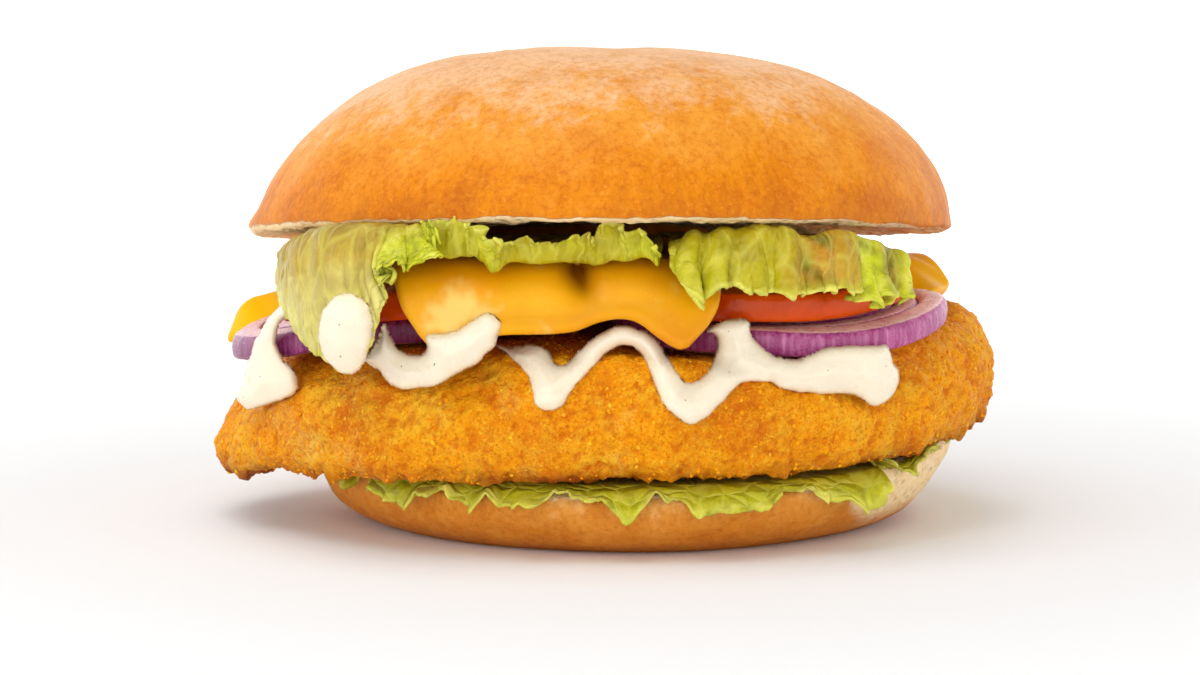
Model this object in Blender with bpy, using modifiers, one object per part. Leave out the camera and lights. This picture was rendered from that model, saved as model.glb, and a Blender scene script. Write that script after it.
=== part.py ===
"""Chicken burger: a breaded fillet with salad, cheese and sauce in a split round bun.

Blender 4.5 script, in metres, +Z up. The burger stands on the XY plane with its bounding box
centred on the origin; its front, where the fillings hang out, faces -Y. Every layer is one
closed solid: the turned ones (bun, fillet, onion, tomato) start as a profile with a Screw
modifier, the sheets (lettuce, cheese) as a grid with Solidify, and the sauce as a filled
outline, and each is then laid on the layer below it.
"""

import math

import bmesh
import bpy
from mathutils import Vector, noise
from mathutils.bvhtree import BVHTree

MM = 0.001
GAP = 0.35 * MM  # free space between touching layers

# Heel of the bun
HEEL_X = 6.0 * MM
HEEL_RADIUS = 53.0 * MM
HEEL_HEIGHT = 12.2 * MM
HEEL_FOOT = 0.80  # radius of its flat foot, as a share of its own radius
HEEL_TAPER = 0.08  # how much narrower its foot is on the right
FORWARD_SLOPE = 0.035  # the heel and what lies on it lean this much to the front

# Crown of the bun
CROWN_RADIUS = 57.8 * MM
CROWN_HEIGHT = 29.2 * MM
CROWN_RIM = 47.3 * MM  # height of its cut face on the burger's axis
CROWN_LEAN = math.radians(4.7)  # backward
CROWN_LIP = 1.2 * MM
CROWN_HOLLOW = 2.2 * MM

# Fillet: plan radii every 30 degrees, counter-clockwise from the right-hand end
FILLET_RADII = [r * MM for r in (63.7, 61, 56, 54, 54.5, 58, 63.5, 61, 58.5, 57, 59.5, 62.5)]
FILLET_BELT = 9.0 * MM  # width of its rounded edge
FILLET_UNDERSIDE = 14.5 * MM
FILLET_THICKNESS = [
    (x * MM, t * MM) for x, t in ((-64, 11.5), (-52, 15), (-30, 17.3), (0, 18), (30, 18.2), (64, 19.6))
]
RIGHT_RISE = 1.3 * MM  # how much higher the fillet stands off the heel at its right end
OVERHANG_X = -45.0 * MM  # left of here the fillet sags over the edge of the heel
OVERHANG_SLOPE = 0.5
FRONT_OVERHANG = 51.0 * MM  # distance from the heel's axis past which its front edge sags
FRONT_SLOPE = 0.25

# Slices that lie on the fillet
ONION_THICKNESS = 4.3 * MM
ONION_RADIUS = 27.5 * MM
ONION_GROOVES = (0.55, 0.80)  # between its rings, as shares of its radius
ONION_GROOVE_DEPTH = 0.5 * MM
TOMATO_THICKNESS = 4.3 * MM
TOMATO_RADIUS = 25.0 * MM
ONION_LEFT, ONION_RIGHT = (-32.5 * MM, -11.0 * MM), (29.0 * MM, -21.5 * MM)
TOMATO_LEFT, TOMATO_RIGHT = (-25.6 * MM, -20.5 * MM), (25.2 * MM, -21.5 * MM)
SLICES_LEFT = -46.0 * MM  # left of here the slices stand off the fillet
SLICES_LEFT_SLOPE = 0.28
DROOP_START = 50.0 * MM  # distance from the axis where the slices start to droop in front
DROOP = 16.0  # curvature of their droop past it, per metre

# Cheese
CHEESE_THICKNESS = 1.9 * MM
CHEESE_SIDE = 85.5 * MM
CHEESE_CENTRE = Vector((-1.9 * MM, 8.0 * MM))
CHEESE_TURN = math.radians(45)
CHEESE_FOLD_FRONT, CHEESE_FOLD_BACK = -43.5 * MM, 49.5 * MM
CHEESE_FOLD_RADIUS = 4.5 * MM
SALAD = ONION_THICKNESS + TOMATO_THICKNESS + 3 * GAP  # depth of the slices between fillet and cheese
FLAP_X = -7.0 * MM
FLAP_WIDTH_TOP, FLAP_WIDTH_HEM = 48.0 * MM, 41.5 * MM
FLAP_CREASE = -3.5 * MM  # a shallow fold runs down from here
FLAP_BACK = 28.0 * MM
FLAP_FOLD = -45.0 * MM  # where the front slice bends down
FLAP_BEND_RADIUS = 7.0 * MM
FLAP_BEND = math.radians(78)
FLAP_HANG = 3.0 * MM

# Leaves: thickness, and for each leaf above the cheese its stations, counter-clockwise:
# (angle in degrees, radius in mm where it leaves the burger, height in mm of its hem)
LEAF_THICKNESS = 0.6 * MM
LEAF_LOFT = 4.0 * MM  # how far a leaf may stand off the cheese
LEFT_LEAF = ((203, 55, 41), (216, 60.8, 37.5), (224, 63.5, 33), (230, 65, 28.5), (235, 64, 31))
FRONT_LEAF = ((240, 57, 48.5), (252, 55, 49), (266, 54, 48.6), (278, 53.5, 49))
RIGHT_LEAF = ((281, 54.6, 42), (290, 56.5, 40), (304, 59, 40.5), (318, 58.8, 41))
BACK_LEAF = ((38, 56.4, 34.6), (60, 57.2, 33), (90, 57.8, 34), (120, 57.2, 32.5), (158, 56.5, 34))

# Sauce: the side it is seen from, in degrees, and its outline there, in mm (across, height)
SAUCE_THICKNESS = 1.8 * MM
SAUCE_GRAIN = 1.6 * MM
SAUCE_BRIDGE = 4.0 * MM  # radius with which it bridges the gaps between layers
SAUCES = {
    "sauce_left_end": (218, ((-11, 32.5), (-13.5, 28), (-15.5, 22.5), (-13, 20.5), (-9, 21), (-5.5, 24), (-6.2, 28.5), (-7.5, 32.5))),
    "sauce_on_leaf": (230, ((-1.5, 31.6), (0, 36.6), (3.2, 37.6), (4.6, 34), (3.6, 29.8), (0.8, 28.8))),
    "sauce_front_left": (
        262, ((-25, 30), (-18, 31), (-11, 33), (-8.5, 32.2), (-10.5, 29.4), (-15, 27.3), (-20.5, 26), (-24.8, 27.2)),
    ),
    "sauce_drizzle": (
        270,
        (
            (-16.3, 31.6), (-8.5, 30.6), (-4.1, 31), (0, 33.6), (4.3, 34), (8.5, 32.6), (12.8, 27.3), (16.5, 30),
            (20.5, 32.6), (26, 31.6), (34, 32), (42.5, 31.6), (44.4, 28.3), (42, 24.4), (35, 25.3), (25, 27.6),
            (19.9, 26.5), (12.8, 21.9), (8.2, 26.5), (4.6, 30.8), (0.6, 30.4), (-3.6, 26.6), (-8.1, 23.4),
            (-10.9, 25.5), (-12, 29),
        ),
    ),
}

COLOURS = {
    "crust": ((0.82, 0.42, 0.12), 0.5),
    "breading": ((0.78, 0.40, 0.06), 0.6),
    "lettuce": ((0.42, 0.52, 0.07), 0.4),
    "onion": ((0.46, 0.12, 0.25), 0.35),
    "tomato": ((0.65, 0.09, 0.02), 0.25),
    "cheese": ((0.95, 0.52, 0.03), 0.3),
    "sauce": ((0.95, 0.90, 0.72), 0.25),
}


# ---- curves and small helpers -----------------------------------------------------------


def smooth_step(t):
    """0 before 0, 1 after 1, and a soft rise between."""
    t = min(1.0, max(0.0, t))
    return t * t * (3 - 2 * t)


def spline(a, b, c, d, t):
    """Catmull-Rom curve between b and c."""
    return 0.5 * (2 * b + (c - a) * t + (2 * a - 5 * b + 4 * c - d) * t**2 + (3 * b - a - 3 * c + d) * t**3)


def through(pairs, x):
    """Height at x of a smooth curve through (x, height) pairs in rising order."""
    last = len(pairs) - 1
    x = min(pairs[last][0], max(pairs[0][0], x))
    i = max(k for k in range(last) if x >= pairs[k][0])
    t = (x - pairs[i][0]) / (pairs[i + 1][0] - pairs[i][0])
    near = [pairs[min(last, max(0, k))][1] for k in (i - 1, i, i + 1, i + 2)]
    return spline(*near, t)


def around(values, angle):
    """Value at an angle of a smooth closed curve through equally spaced values."""
    place = angle / math.tau * len(values) % len(values)
    i = int(place)
    near = [values[(i + k) % len(values)] for k in (-1, 0, 1, 2)]
    return spline(*near, place - i)


def material(name):
    """The Principled material of this name."""
    colour, roughness = COLOURS[name]
    made = bpy.data.materials.get(name) or bpy.data.materials.new(name)
    made.use_nodes = True
    shader = made.node_tree.nodes["Principled BSDF"]
    shader.inputs["Base Color"].default_value = (*colour, 1)
    shader.inputs["Roughness"].default_value = roughness
    shader.inputs["Metallic"].default_value = 0.0
    return made


def settled(obj):
    """Replaces the object's mesh by its evaluated one and drops its modifiers."""
    mesh = bpy.data.meshes.new_from_object(obj.evaluated_get(bpy.context.evaluated_depsgraph_get()))
    if obj.type == "CURVE":
        solid = bpy.data.objects.new(obj.name + "_solid", mesh)
        collection = obj.users_collection[0]
        name = obj.name
        bpy.data.objects.remove(obj)
        solid.name = name
        collection.objects.link(solid)
        return solid
    obj.modifiers.clear()
    obj.data = mesh
    return obj


def moved(obj, place):
    """Moves each vertex to place(vertex position)."""
    for vertex in obj.data.vertices:
        vertex.co = place(vertex.co.copy())
    obj.data.update()
    return obj


def faced_outwards(obj):
    """Merges doubled points and turns every face outwards."""
    work = bmesh.new()
    work.from_mesh(obj.data)
    bmesh.ops.remove_doubles(work, verts=work.verts, dist=0.01 * MM)
    bmesh.ops.recalc_face_normals(work, faces=work.faces)
    work.to_mesh(obj.data)
    work.free()
    return obj


def finished(obj, finish):
    """Gives the piece its material and smooth shading."""
    obj.data.materials.clear()
    obj.data.materials.append(material(finish))
    obj.data.shade_smooth()
    return obj


def turned(name, profile, steps, collection):
    """A solid of revolution about Z; the profile runs from its top to its underside."""
    mesh = bpy.data.meshes.new(name)
    mesh.from_pydata([(r, 0, z) for r, z in profile], [(i, i + 1) for i in range(len(profile) - 1)], [])
    obj = bpy.data.objects.new(name, mesh)
    collection.objects.link(obj)
    screw = obj.modifiers.new("turn", "SCREW")
    screw.steps = screw.render_steps = steps
    screw.use_merge_vertices = True
    screw.merge_threshold = 0.01 * MM
    return faced_outwards(settled(obj))


def sheet(name, columns, rows, collection):
    """A flat grid from (0, 0) to (1, 1), to be moved into place before it gets a thickness."""
    work = bmesh.new()
    bmesh.ops.create_grid(work, x_segments=columns, y_segments=rows, size=0.5)
    bmesh.ops.translate(work, verts=work.verts, vec=(0.5, 0.5, 0))
    mesh = bpy.data.meshes.new(name)
    work.to_mesh(mesh)
    work.free()
    obj = bpy.data.objects.new(name, mesh)
    collection.objects.link(obj)
    return obj


def thickened(obj, thickness, side):
    """Gives a sheet its thickness: side 1 adds it along the normals, -1 against them, 0 evenly."""
    solidify = obj.modifiers.new("thickness", "SOLIDIFY")
    solidify.thickness = thickness
    solidify.offset = side
    return faced_outwards(settled(obj))


# ---- bun --------------------------------------------------------------------------------


def heel_top(x, y):
    """Height of the heel's cut face."""
    return HEEL_HEIGHT + FORWARD_SLOPE * y


def build_heel(collection):
    """Flat-footed lower half, its sides curling up to a thin rim."""
    radius, height = HEEL_RADIUS, HEEL_HEIGHT
    profile = [
        (0, height),
        (0.45 * radius, height),
        (0.78 * radius, height),
        (0.955 * radius, height),
        (radius, 0.88 * height),
        (0.995 * radius, 0.62 * height),
        (0.955 * radius, 0.34 * height),
        (0.89 * radius, 0.12 * height),
        (HEEL_FOOT * radius, 0),
        (0.45 * radius, 0),
        (0, 0),
    ]
    heel = turned("bun_heel", profile, 36, collection)

    def place(point):
        lean = FORWARD_SLOPE * point.y * point.z / height
        right = smooth_step(point.x / max(0.8 * math.hypot(point.x, point.y), 1e-6))
        taper = 1 - HEEL_TAPER * right * max(0.0, 1 - point.z / height) ** 0.7
        return Vector((point.x * taper + HEEL_X, point.y * taper, point.z + lean))

    return finished(moved(heel, place), "crust")


def crown_height(share, angle):
    """Height of the dome over its rim: fuller on the right, a straighter slope on the left."""
    right = 0.5 + 0.5 * math.cos(angle)
    outer, inner = 3.2 - 0.6 * right, 1.25 + 0.65 * right
    return CROWN_HEIGHT * max(0.0, 1 - share**outer) ** (1 / inner)


def crown_face(share, level):
    """Height of the cut face over the rim: its lip at level -1, and the hollow within it."""
    return CROWN_LIP * level + CROWN_HOLLOW * smooth_step((0.93 - share) / 0.25)


def crown_underside(x, y):
    """Height of the crown's cut face above the ground."""
    share = min(1.0, math.hypot(x, y) / CROWN_RADIUS)
    return CROWN_RIM - y * math.tan(CROWN_LEAN) + crown_face(share, -1)


def crown_point(share, angle, level):
    """A point of the crown: level 1 is the dome, below 0 the cut face with its lip."""
    x = CROWN_RADIUS * share * math.cos(angle)
    y = CROWN_RADIUS * share * math.sin(angle)
    z = crown_height(share, angle) if level > 0 else crown_face(share, level)
    cos, sin = math.cos(CROWN_LEAN), math.sin(CROWN_LEAN)
    return Vector((x - 0.5 * MM, y * cos + z * sin, CROWN_RIM - y * sin + z * cos))


def build_crown(collection):
    """Domed upper half, leaning back, with a hollowed cut face."""
    dome = [0, 0.18, 0.34, 0.48, 0.60, 0.71, 0.80, 0.87, 0.93, 0.975, 1.0]
    face = [(0.99, -0.6), (0.96, -1), (0.82, -1), (0.5, -1), (0, -1)]
    profile = [(share, 1) for share in dome] + face
    crown = turned("bun_crown", profile, 36, collection)

    def place(point):
        return crown_point(math.hypot(point.x, point.y), math.atan2(point.y, point.x), point.z)

    return finished(moved(crown, place), "crust")


# ---- fillet -----------------------------------------------------------------------------


def right_rise(x):
    """The fillet and what lies on it stand a little higher towards the right."""
    return RIGHT_RISE * smooth_step((x - 28 * MM) / (30 * MM))


def fillet_underside(x, y):
    """The fillet follows the heel and sags where it overhangs it."""
    past = max(0.0, OVERHANG_X - x)
    left = OVERHANG_SLOPE * past * smooth_step(past / (6 * MM))
    past = max(0.0, math.hypot(x - HEEL_X, y) - FRONT_OVERHANG)
    front = FRONT_SLOPE * past * smooth_step(past / (4 * MM)) * smooth_step(-y / (30 * MM))
    return FILLET_UNDERSIDE + FORWARD_SLOPE * y + right_rise(x) - max(left, front)


def on_fillet(x, y):
    """Height of a layer that rests on the top of the fillet."""
    inside = max(SLICES_LEFT, x)
    top = FILLET_UNDERSIDE + FORWARD_SLOPE * y + right_rise(x) + through(FILLET_THICKNESS, inside)
    return top + 2.2 * GAP - SLICES_LEFT_SLOPE * (inside - x)


def fillet_point(share, level, angle):
    """A point of the fillet: share of the flat part's radius, or 1 and the belt's own angle."""
    radius = around(FILLET_RADII, angle)
    belt = FILLET_BELT
    fullness = 0.5 if level < 0 else 1.0
    bulge = max(0.0, math.cos(level)) ** fullness * (share >= 1)
    reach = (radius - belt) * share + belt * bulge
    x, y = reach * math.cos(angle), reach * math.sin(angle)
    half = through(FILLET_THICKNESS, x) / 2
    lumps = 1.1 * MM * noise.noise(Vector((x, y, level * 8 * MM)) / (17 * MM))
    swell = 1 + lumps / radius * (share >= 1)
    z = fillet_underside(x, y) + half + half * math.sin(level) + 0.2 * lumps
    return Vector((x * swell, y * swell, z))


def build_fillet(collection):
    """Breaded fillet, blunt at its drooping left end and round at the right."""
    flat = (0, 0.42, 0.78)
    belt = [math.radians(90 - 180 * k / 8) for k in range(9)]
    rings = [(share, belt[0]) for share in flat]
    rings += [(1.0, level) for level in belt]
    rings += [(share, belt[-1]) for share in reversed(flat)]
    # The reference shape keeps each ring's share as its radius and its number as its height.
    profile = [(share, -k) for k, (share, _) in enumerate(rings)]
    fillet = turned("chicken_fillet", profile, 44, collection)

    def place(point):
        share, level = rings[round(-point.z)]
        return fillet_point(share, level, math.atan2(point.y, point.x))

    return finished(moved(fillet, place), "breading")


# ---- onion and tomato -------------------------------------------------------------------


def droop(x, y):
    """How far the slices hang over the rounded edge of the fillet, in front."""
    distance = math.hypot(x, y)
    in_front = smooth_step(-1.6 * y / max(distance, MM) - 0.5)
    return DROOP * in_front * max(0.0, distance - DROOP_START) ** 2


def build_slice(name, profile, steps, centre, lift, finish, collection):
    """A round slice laid on the stack, where it droops over the edge."""
    slice_ = turned(name, profile, steps, collection)

    def place(point):
        x, y = point.x + centre[0], point.y + centre[1]
        return Vector((x, y, on_fillet(x, y) + lift + point.z - droop(x, y)))

    return finished(moved(slice_, place), finish)


def build_onion(name, centre, collection):
    """Onion slice with grooves between its rings."""
    radius, thickness = ONION_RADIUS, ONION_THICKNESS
    profile = [(0, thickness)]
    for share in ONION_GROOVES:
        groove = share * radius
        profile += [
            (groove - 0.6 * MM, thickness),
            (groove, thickness - ONION_GROOVE_DEPTH),
            (groove + 0.6 * MM, thickness),
        ]
    profile += [
        (radius - 0.6 * MM, thickness),
        (radius, 0.5 * thickness),
        (radius - 0.6 * MM, 0),
        (0.5 * radius, 0),
        (0, 0),
    ]
    return build_slice(name, profile, 26, centre, 0, "onion", collection)


def build_tomato(name, centre, collection):
    """Tomato slice with its skin's rounded edge."""
    radius, thickness = TOMATO_RADIUS, TOMATO_THICKNESS
    profile = [
        (0, thickness),
        (0.5 * radius, thickness),
        (radius - 1.0 * MM, thickness),
        (radius, 0.62 * thickness),
        (radius - 0.2 * MM, 0.25 * thickness),
        (radius - 1.0 * MM, 0),
        (0.72 * radius, 0),
        (0.4 * radius, 0),
        (0, 0),
    ]
    return build_slice(name, profile, 26, centre, ONION_THICKNESS + 2 * GAP, "tomato", collection)


# ---- cheese -----------------------------------------------------------------------------


def salad_top(x, y):
    """Where the cheese lies: on the tomatoes in front, down to the fillet behind them."""
    in_front = 1 - smooth_step((y - 3 * MM) / (32 * MM))
    return on_fillet(x, y) + SALAD * in_front - droop(x, y)


def folded(run, radius, bend):
    """How far a sheet has gone forward and down when it bends over an edge and hangs."""
    turn = min(bend, max(0.0, run) / radius)
    hang = max(0.0, run - bend * radius)
    return radius * math.sin(turn) + hang * math.cos(turn), radius * (1 - math.cos(turn)) + hang * math.sin(turn)


def build_cheese_slice(collection):
    """Square slice, turned so that its corners hang out at the sides and the back."""
    cheese = sheet("cheese_slice", 12, 12, collection)

    def place(point):
        across, along = (point.x - 0.5) * CHEESE_SIDE, (point.y - 0.5) * CHEESE_SIDE
        x = CHEESE_CENTRE.x + across * math.cos(CHEESE_TURN) - along * math.sin(CHEESE_TURN)
        y = CHEESE_CENTRE.y + across * math.sin(CHEESE_TURN) + along * math.cos(CHEESE_TURN)
        inside = min(CHEESE_FOLD_BACK, max(CHEESE_FOLD_FRONT, y))
        forward, drop = folded(abs(y - inside), CHEESE_FOLD_RADIUS, math.radians(84))
        at_sides = 32 * max(0.0, x - 44 * MM) ** 2 + 40 * max(0.0, -49 * MM - x) ** 2
        height = salad_top(x, inside) - drop - at_sides
        return Vector((x, inside + math.copysign(forward, y), height))

    return finished(thickened(moved(cheese, place), CHEESE_THICKNESS, 1), "cheese")


def flap_point(u, v):
    """The front slice: v runs from its back edge to its hem, u from left to right."""
    flat = FLAP_BACK - FLAP_FOLD
    bend = FLAP_BEND_RADIUS * FLAP_BEND
    run = v * (flat + bend + FLAP_HANG)
    past = max(0.0, run - flat)
    forward, drop = folded(past, FLAP_BEND_RADIUS, FLAP_BEND)
    width = FLAP_WIDTH_TOP + (FLAP_WIDTH_HEM - FLAP_WIDTH_TOP) * smooth_step(past / (bend + FLAP_HANG))
    x = FLAP_X + (u - 0.5) * width
    notch = math.exp(-(((x - 2.5 * MM) / (5 * MM)) ** 2))
    corner = smooth_step((x - 5 * MM) / (9 * MM))
    hem_wave = 1 - 0.25 * notch + 0.25 * corner
    crease = 1.6 * MM * math.exp(-(((x - FLAP_CREASE) / (4 * MM)) ** 2)) * smooth_step(past / bend)
    y = FLAP_BACK - min(run, flat)
    level = salad_top(x, y) + CHEESE_THICKNESS + 1.8 * GAP
    return Vector((x, y - forward + crease, level - drop * hem_wave))


def build_cheese_flap(collection):
    """Second slice, folded down over the front of the salad."""
    flap = sheet("cheese_flap", 12, 14, collection)
    moved(flap, lambda point: flap_point(point.x, 1 - point.y))
    return finished(thickened(flap, CHEESE_THICKNESS, 1), "cheese")


# ---- lettuce ----------------------------------------------------------------------------


def ruffle(angle, waves, phase):
    """Uneven wave between -1 and 1 along a leaf's edge."""
    return 0.65 * math.sin(waves * angle + phase) + 0.35 * math.sin(1.7 * waves * angle + 2.1 * phase)


def under_leaf_point(share, angle):
    """The lower leaf: flat on the heel, ruffled past its rim and hanging over it in lobes."""
    rim = HEEL_RADIUS - 1.5 * MM
    lobe = 0.5 + 0.5 * ruffle(angle, 7, 0.6)
    front = smooth_step((0.35 - math.sin(angle)) / 1.1)
    reach = rim + (1.8 + 3.6 * lobe * front) * MM
    radius = reach * share
    x, y = HEEL_X + radius * math.cos(angle), radius * math.sin(angle)
    past = max(0.0, radius - rim)
    room = smooth_step((share - 0.8) / 0.2)
    wave = 0.35 * MM * room * (1 + ruffle(angle, 17, 0.2)) * smooth_step(-math.sin(angle) * 1.4)
    hang = 0.85 * past * smooth_step(past / (3 * MM))
    return Vector((x, y, heel_top(x, y) + GAP + LEAF_THICKNESS / 2 + wave - hang))


def build_under_leaf(collection):
    """Lettuce between the heel and the fillet."""
    shares = (0, 0.4, 0.75, 0.9, 0.955, 1.0)
    leaf = turned("lettuce_lower", [(share, 0) for share in shares], 60, collection)
    moved(leaf, lambda point: under_leaf_point(math.hypot(point.x, point.y), math.atan2(point.y, point.x)))
    return finished(thickened(leaf, LEAF_THICKNESS, 0), "lettuce")


def leaf_shoulder(x, y):
    """Height at which a leaf lies between the cheese and the crown."""
    below = salad_top(x, y) + 2 * CHEESE_THICKNESS + 2 * GAP
    above = crown_underside(x, y)
    return min((below + above) / 2, below + LEAF_LOFT)


def leaf_point(stations, u, v):
    """A leaf that runs out from inside the burger and turns down, or up, to its hem."""
    first, last = stations[0][0], stations[-1][0]
    degrees = first + (last - first) * u
    angle = math.radians(degrees)
    wall = through([(a, r) for a, r, _ in stations], degrees) * MM
    hem = through([(a, h) for a, _, h in stations], degrees) * MM
    radius = wall * (0.42 + 0.58 * math.sin(min(1.0, v / 0.7) * math.pi / 2))
    x, y = radius * math.cos(angle), radius * math.sin(angle)
    top = leaf_shoulder(x * 0.9, y * 0.9)
    edge = smooth_step((v - 0.45) / 0.5)
    wave = 0.5 * MM * v**3 * ruffle(angle, 26, 0.9)
    return Vector((x + wave * math.cos(angle), y + wave * math.sin(angle), top + (hem - top) * edge))


def build_leaf(name, stations, columns, collection):
    """One leaf of the lettuce under the crown."""
    leaf = sheet(name, columns, 7, collection)
    moved(leaf, lambda point: leaf_point(stations, point.x, point.y))
    return finished(thickened(leaf, LEAF_THICKNESS, 0), "lettuce")


# ---- sauce ------------------------------------------------------------------------------


def filled_outline(name, points, thickness, collection):
    """A flat slab with this outline, rounded and with evenly sized faces, lying on the XY plane."""
    curve = bpy.data.curves.new(name, "CURVE")
    curve.dimensions = "2D"
    curve.fill_mode = "BOTH"
    curve.extrude = thickness / 2
    line = curve.splines.new("BEZIER")
    line.bezier_points.add(len(points) - 1)
    line.use_cyclic_u = True
    line.resolution_u = 3
    for bezier, (x, height) in zip(line.bezier_points, points):
        bezier.co = (x * MM, height * MM, 0)
        bezier.handle_left_type = bezier.handle_right_type = "AUTO"
    slab = bpy.data.objects.new(name, curve)
    collection.objects.link(slab)
    slab = faced_outwards(settled(slab))
    remesh = slab.modifiers.new("grain", "REMESH")
    remesh.mode = "VOXEL"
    remesh.voxel_size = SAUCE_GRAIN
    smooth = slab.modifiers.new("rounding", "SMOOTH")
    smooth.factor = 0.5
    smooth.iterations = 3
    return settled(slab)


def build_sauce(name, side, outline, food, collection):
    """Sauce that has run down over the outside of the food."""
    points, faces = [], []
    for obj in food:
        faces += [tuple(k + len(points) for k in polygon.vertices) for polygon in obj.data.polygons]
        points += [vertex.co.copy() for vertex in obj.data.vertices]
    tree = BVHTree.FromPolygons(points, faces)
    out = Vector((math.cos(math.radians(side)), math.sin(math.radians(side)), 0))
    across = Vector((-out.y, out.x, 0))
    steps = [k * SAUCE_BRIDGE / 3 for k in (-2, -1, 0, 1, 2)]
    slab = filled_outline(name, outline, SAUCE_THICKNESS, collection)

    def surface(x, z):
        hit = tree.ray_cast(out * 0.1 + across * x + Vector((0, 0, z)), -out)[3]
        return 0.1 - (hit or 0.1)

    def place(point):
        bridged = [
            surface(point.x + i, point.y + j) + math.sqrt(SAUCE_BRIDGE**2 - i * i - j * j) - SAUCE_BRIDGE
            for i in steps
            for j in steps
        ]
        off = max(bridged) + GAP + SAUCE_THICKNESS / 2 + point.z
        return out * off + across * point.x + Vector((0, 0, point.y))

    return finished(faced_outwards(moved(slab, place)), "sauce")


def main():
    for obj in list(bpy.data.objects):
        bpy.data.objects.remove(obj)
    burger = bpy.data.collections.new("chicken_burger")
    bpy.context.scene.collection.children.link(burger)
    build_heel(burger)
    build_under_leaf(burger)
    build_fillet(burger)
    build_onion("onion_left", ONION_LEFT, burger)
    build_onion("onion_right", ONION_RIGHT, burger)
    build_tomato("tomato_left", TOMATO_LEFT, burger)
    build_tomato("tomato_right", TOMATO_RIGHT, burger)
    build_cheese_slice(burger)
    build_cheese_flap(burger)
    build_leaf("lettuce_left", LEFT_LEAF, 12, burger)
    build_leaf("lettuce_front", FRONT_LEAF, 14, burger)
    build_leaf("lettuce_right", RIGHT_LEAF, 14, burger)
    build_leaf("lettuce_back", BACK_LEAF, 26, burger)
    build_crown(burger)
    food = list(burger.objects)
    for name, (side, outline) in SAUCES.items():
        build_sauce(name, side, outline, food, burger)


main()
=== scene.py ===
"""Chicken burger with a breaded fillet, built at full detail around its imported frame.

Each layer is a class: the bun, the fillet, the salad, the cheese, the lettuce and the sauce. Sizes
are in millimetres until a mesh is made, and every layer is tied to the box of the frame's node
that it stands for. The front of the burger, where the fillings hang out, faces -Y.
"""

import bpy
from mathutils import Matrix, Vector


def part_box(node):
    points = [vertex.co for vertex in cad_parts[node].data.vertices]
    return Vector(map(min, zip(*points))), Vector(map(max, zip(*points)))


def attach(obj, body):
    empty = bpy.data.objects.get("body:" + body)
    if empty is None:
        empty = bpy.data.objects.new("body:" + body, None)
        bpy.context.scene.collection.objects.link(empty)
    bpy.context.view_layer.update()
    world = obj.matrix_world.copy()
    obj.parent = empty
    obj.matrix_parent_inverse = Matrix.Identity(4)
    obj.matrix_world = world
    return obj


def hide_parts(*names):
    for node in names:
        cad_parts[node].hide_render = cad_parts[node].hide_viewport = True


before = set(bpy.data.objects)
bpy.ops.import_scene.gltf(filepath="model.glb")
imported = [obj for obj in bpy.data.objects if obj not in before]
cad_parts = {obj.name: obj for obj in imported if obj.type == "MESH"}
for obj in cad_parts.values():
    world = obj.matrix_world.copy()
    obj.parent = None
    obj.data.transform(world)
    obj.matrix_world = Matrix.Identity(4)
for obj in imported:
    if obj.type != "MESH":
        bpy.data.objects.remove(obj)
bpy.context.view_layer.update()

import logging
import math
from collections.abc import Sequence
from dataclasses import dataclass, field
from enum import Enum

import bpy
import numpy as np
from mathutils import noise
from mathutils.bvhtree import BVHTree

LOG = logging.getLogger("burger")
MM = 0.001
Array = np.ndarray
Pairs = Sequence[tuple[float, float]]
Place = tuple[float, float, float]
Colour = tuple[float, float, float]


class Slot(Enum):
    """Material slots of the record."""

    CRUST = "crust"
    BREADING = "breading"
    LETTUCE = "lettuce"
    ONION = "onion"
    TOMATO = "tomato"
    CHEESE = "cheese"
    SAUCE = "sauce"


# ---- curves, sheets and noise -----------------------------------------------------------


def smooth_step(t: Array) -> Array:
    """0 below 0, 1 above 1 and a soft rise between."""
    t = np.clip(t, 0.0, 1.0)
    return t * t * (3 - 2 * t)


def hump(x: Array, centre: float, width: float) -> Array:
    """1 at the centre, falling off over the width to both sides."""
    return np.exp(-(((x - centre) / width) ** 2))


def blend(a: Array, b: Array, c: Array, d: Array, t: Array) -> Array:
    """Smooth curve between b and c, at t from 0 to 1."""
    return 0.5 * (2 * b + (c - a) * t + (2 * a - 5 * b + 4 * c - d) * t**2 + (3 * b - a - 3 * c + d) * t**3)


def through(pairs: Pairs, x: Array) -> Array:
    """Values at x of a smooth curve through pairs.

    Args:
        pairs: (place, value) in rising order of place.
        x: places to read.

    Returns:
        One value for each place.
    """
    places, values = np.array(pairs, float).T
    x = np.clip(x, places[0], places[-1])
    i = np.clip(np.searchsorted(places, x, side="right") - 1, 0, len(places) - 2)
    t = (x - places[i]) / (places[i + 1] - places[i])
    near = [values[np.clip(i + k, 0, len(values) - 1)] for k in (-1, 0, 1, 2)]
    return blend(*near, t)


def around(values: Sequence[float], angle: Array) -> Array:
    """Values at the angles of a smooth closed curve through evenly spaced values."""
    ring = np.array(values, float)
    place = angle / math.tau * len(ring) % len(ring)
    i = place.astype(int)
    near = [ring[(i + k) % len(ring)] for k in (-1, 0, 1, 2)]
    return blend(*near, place - i)


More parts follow.
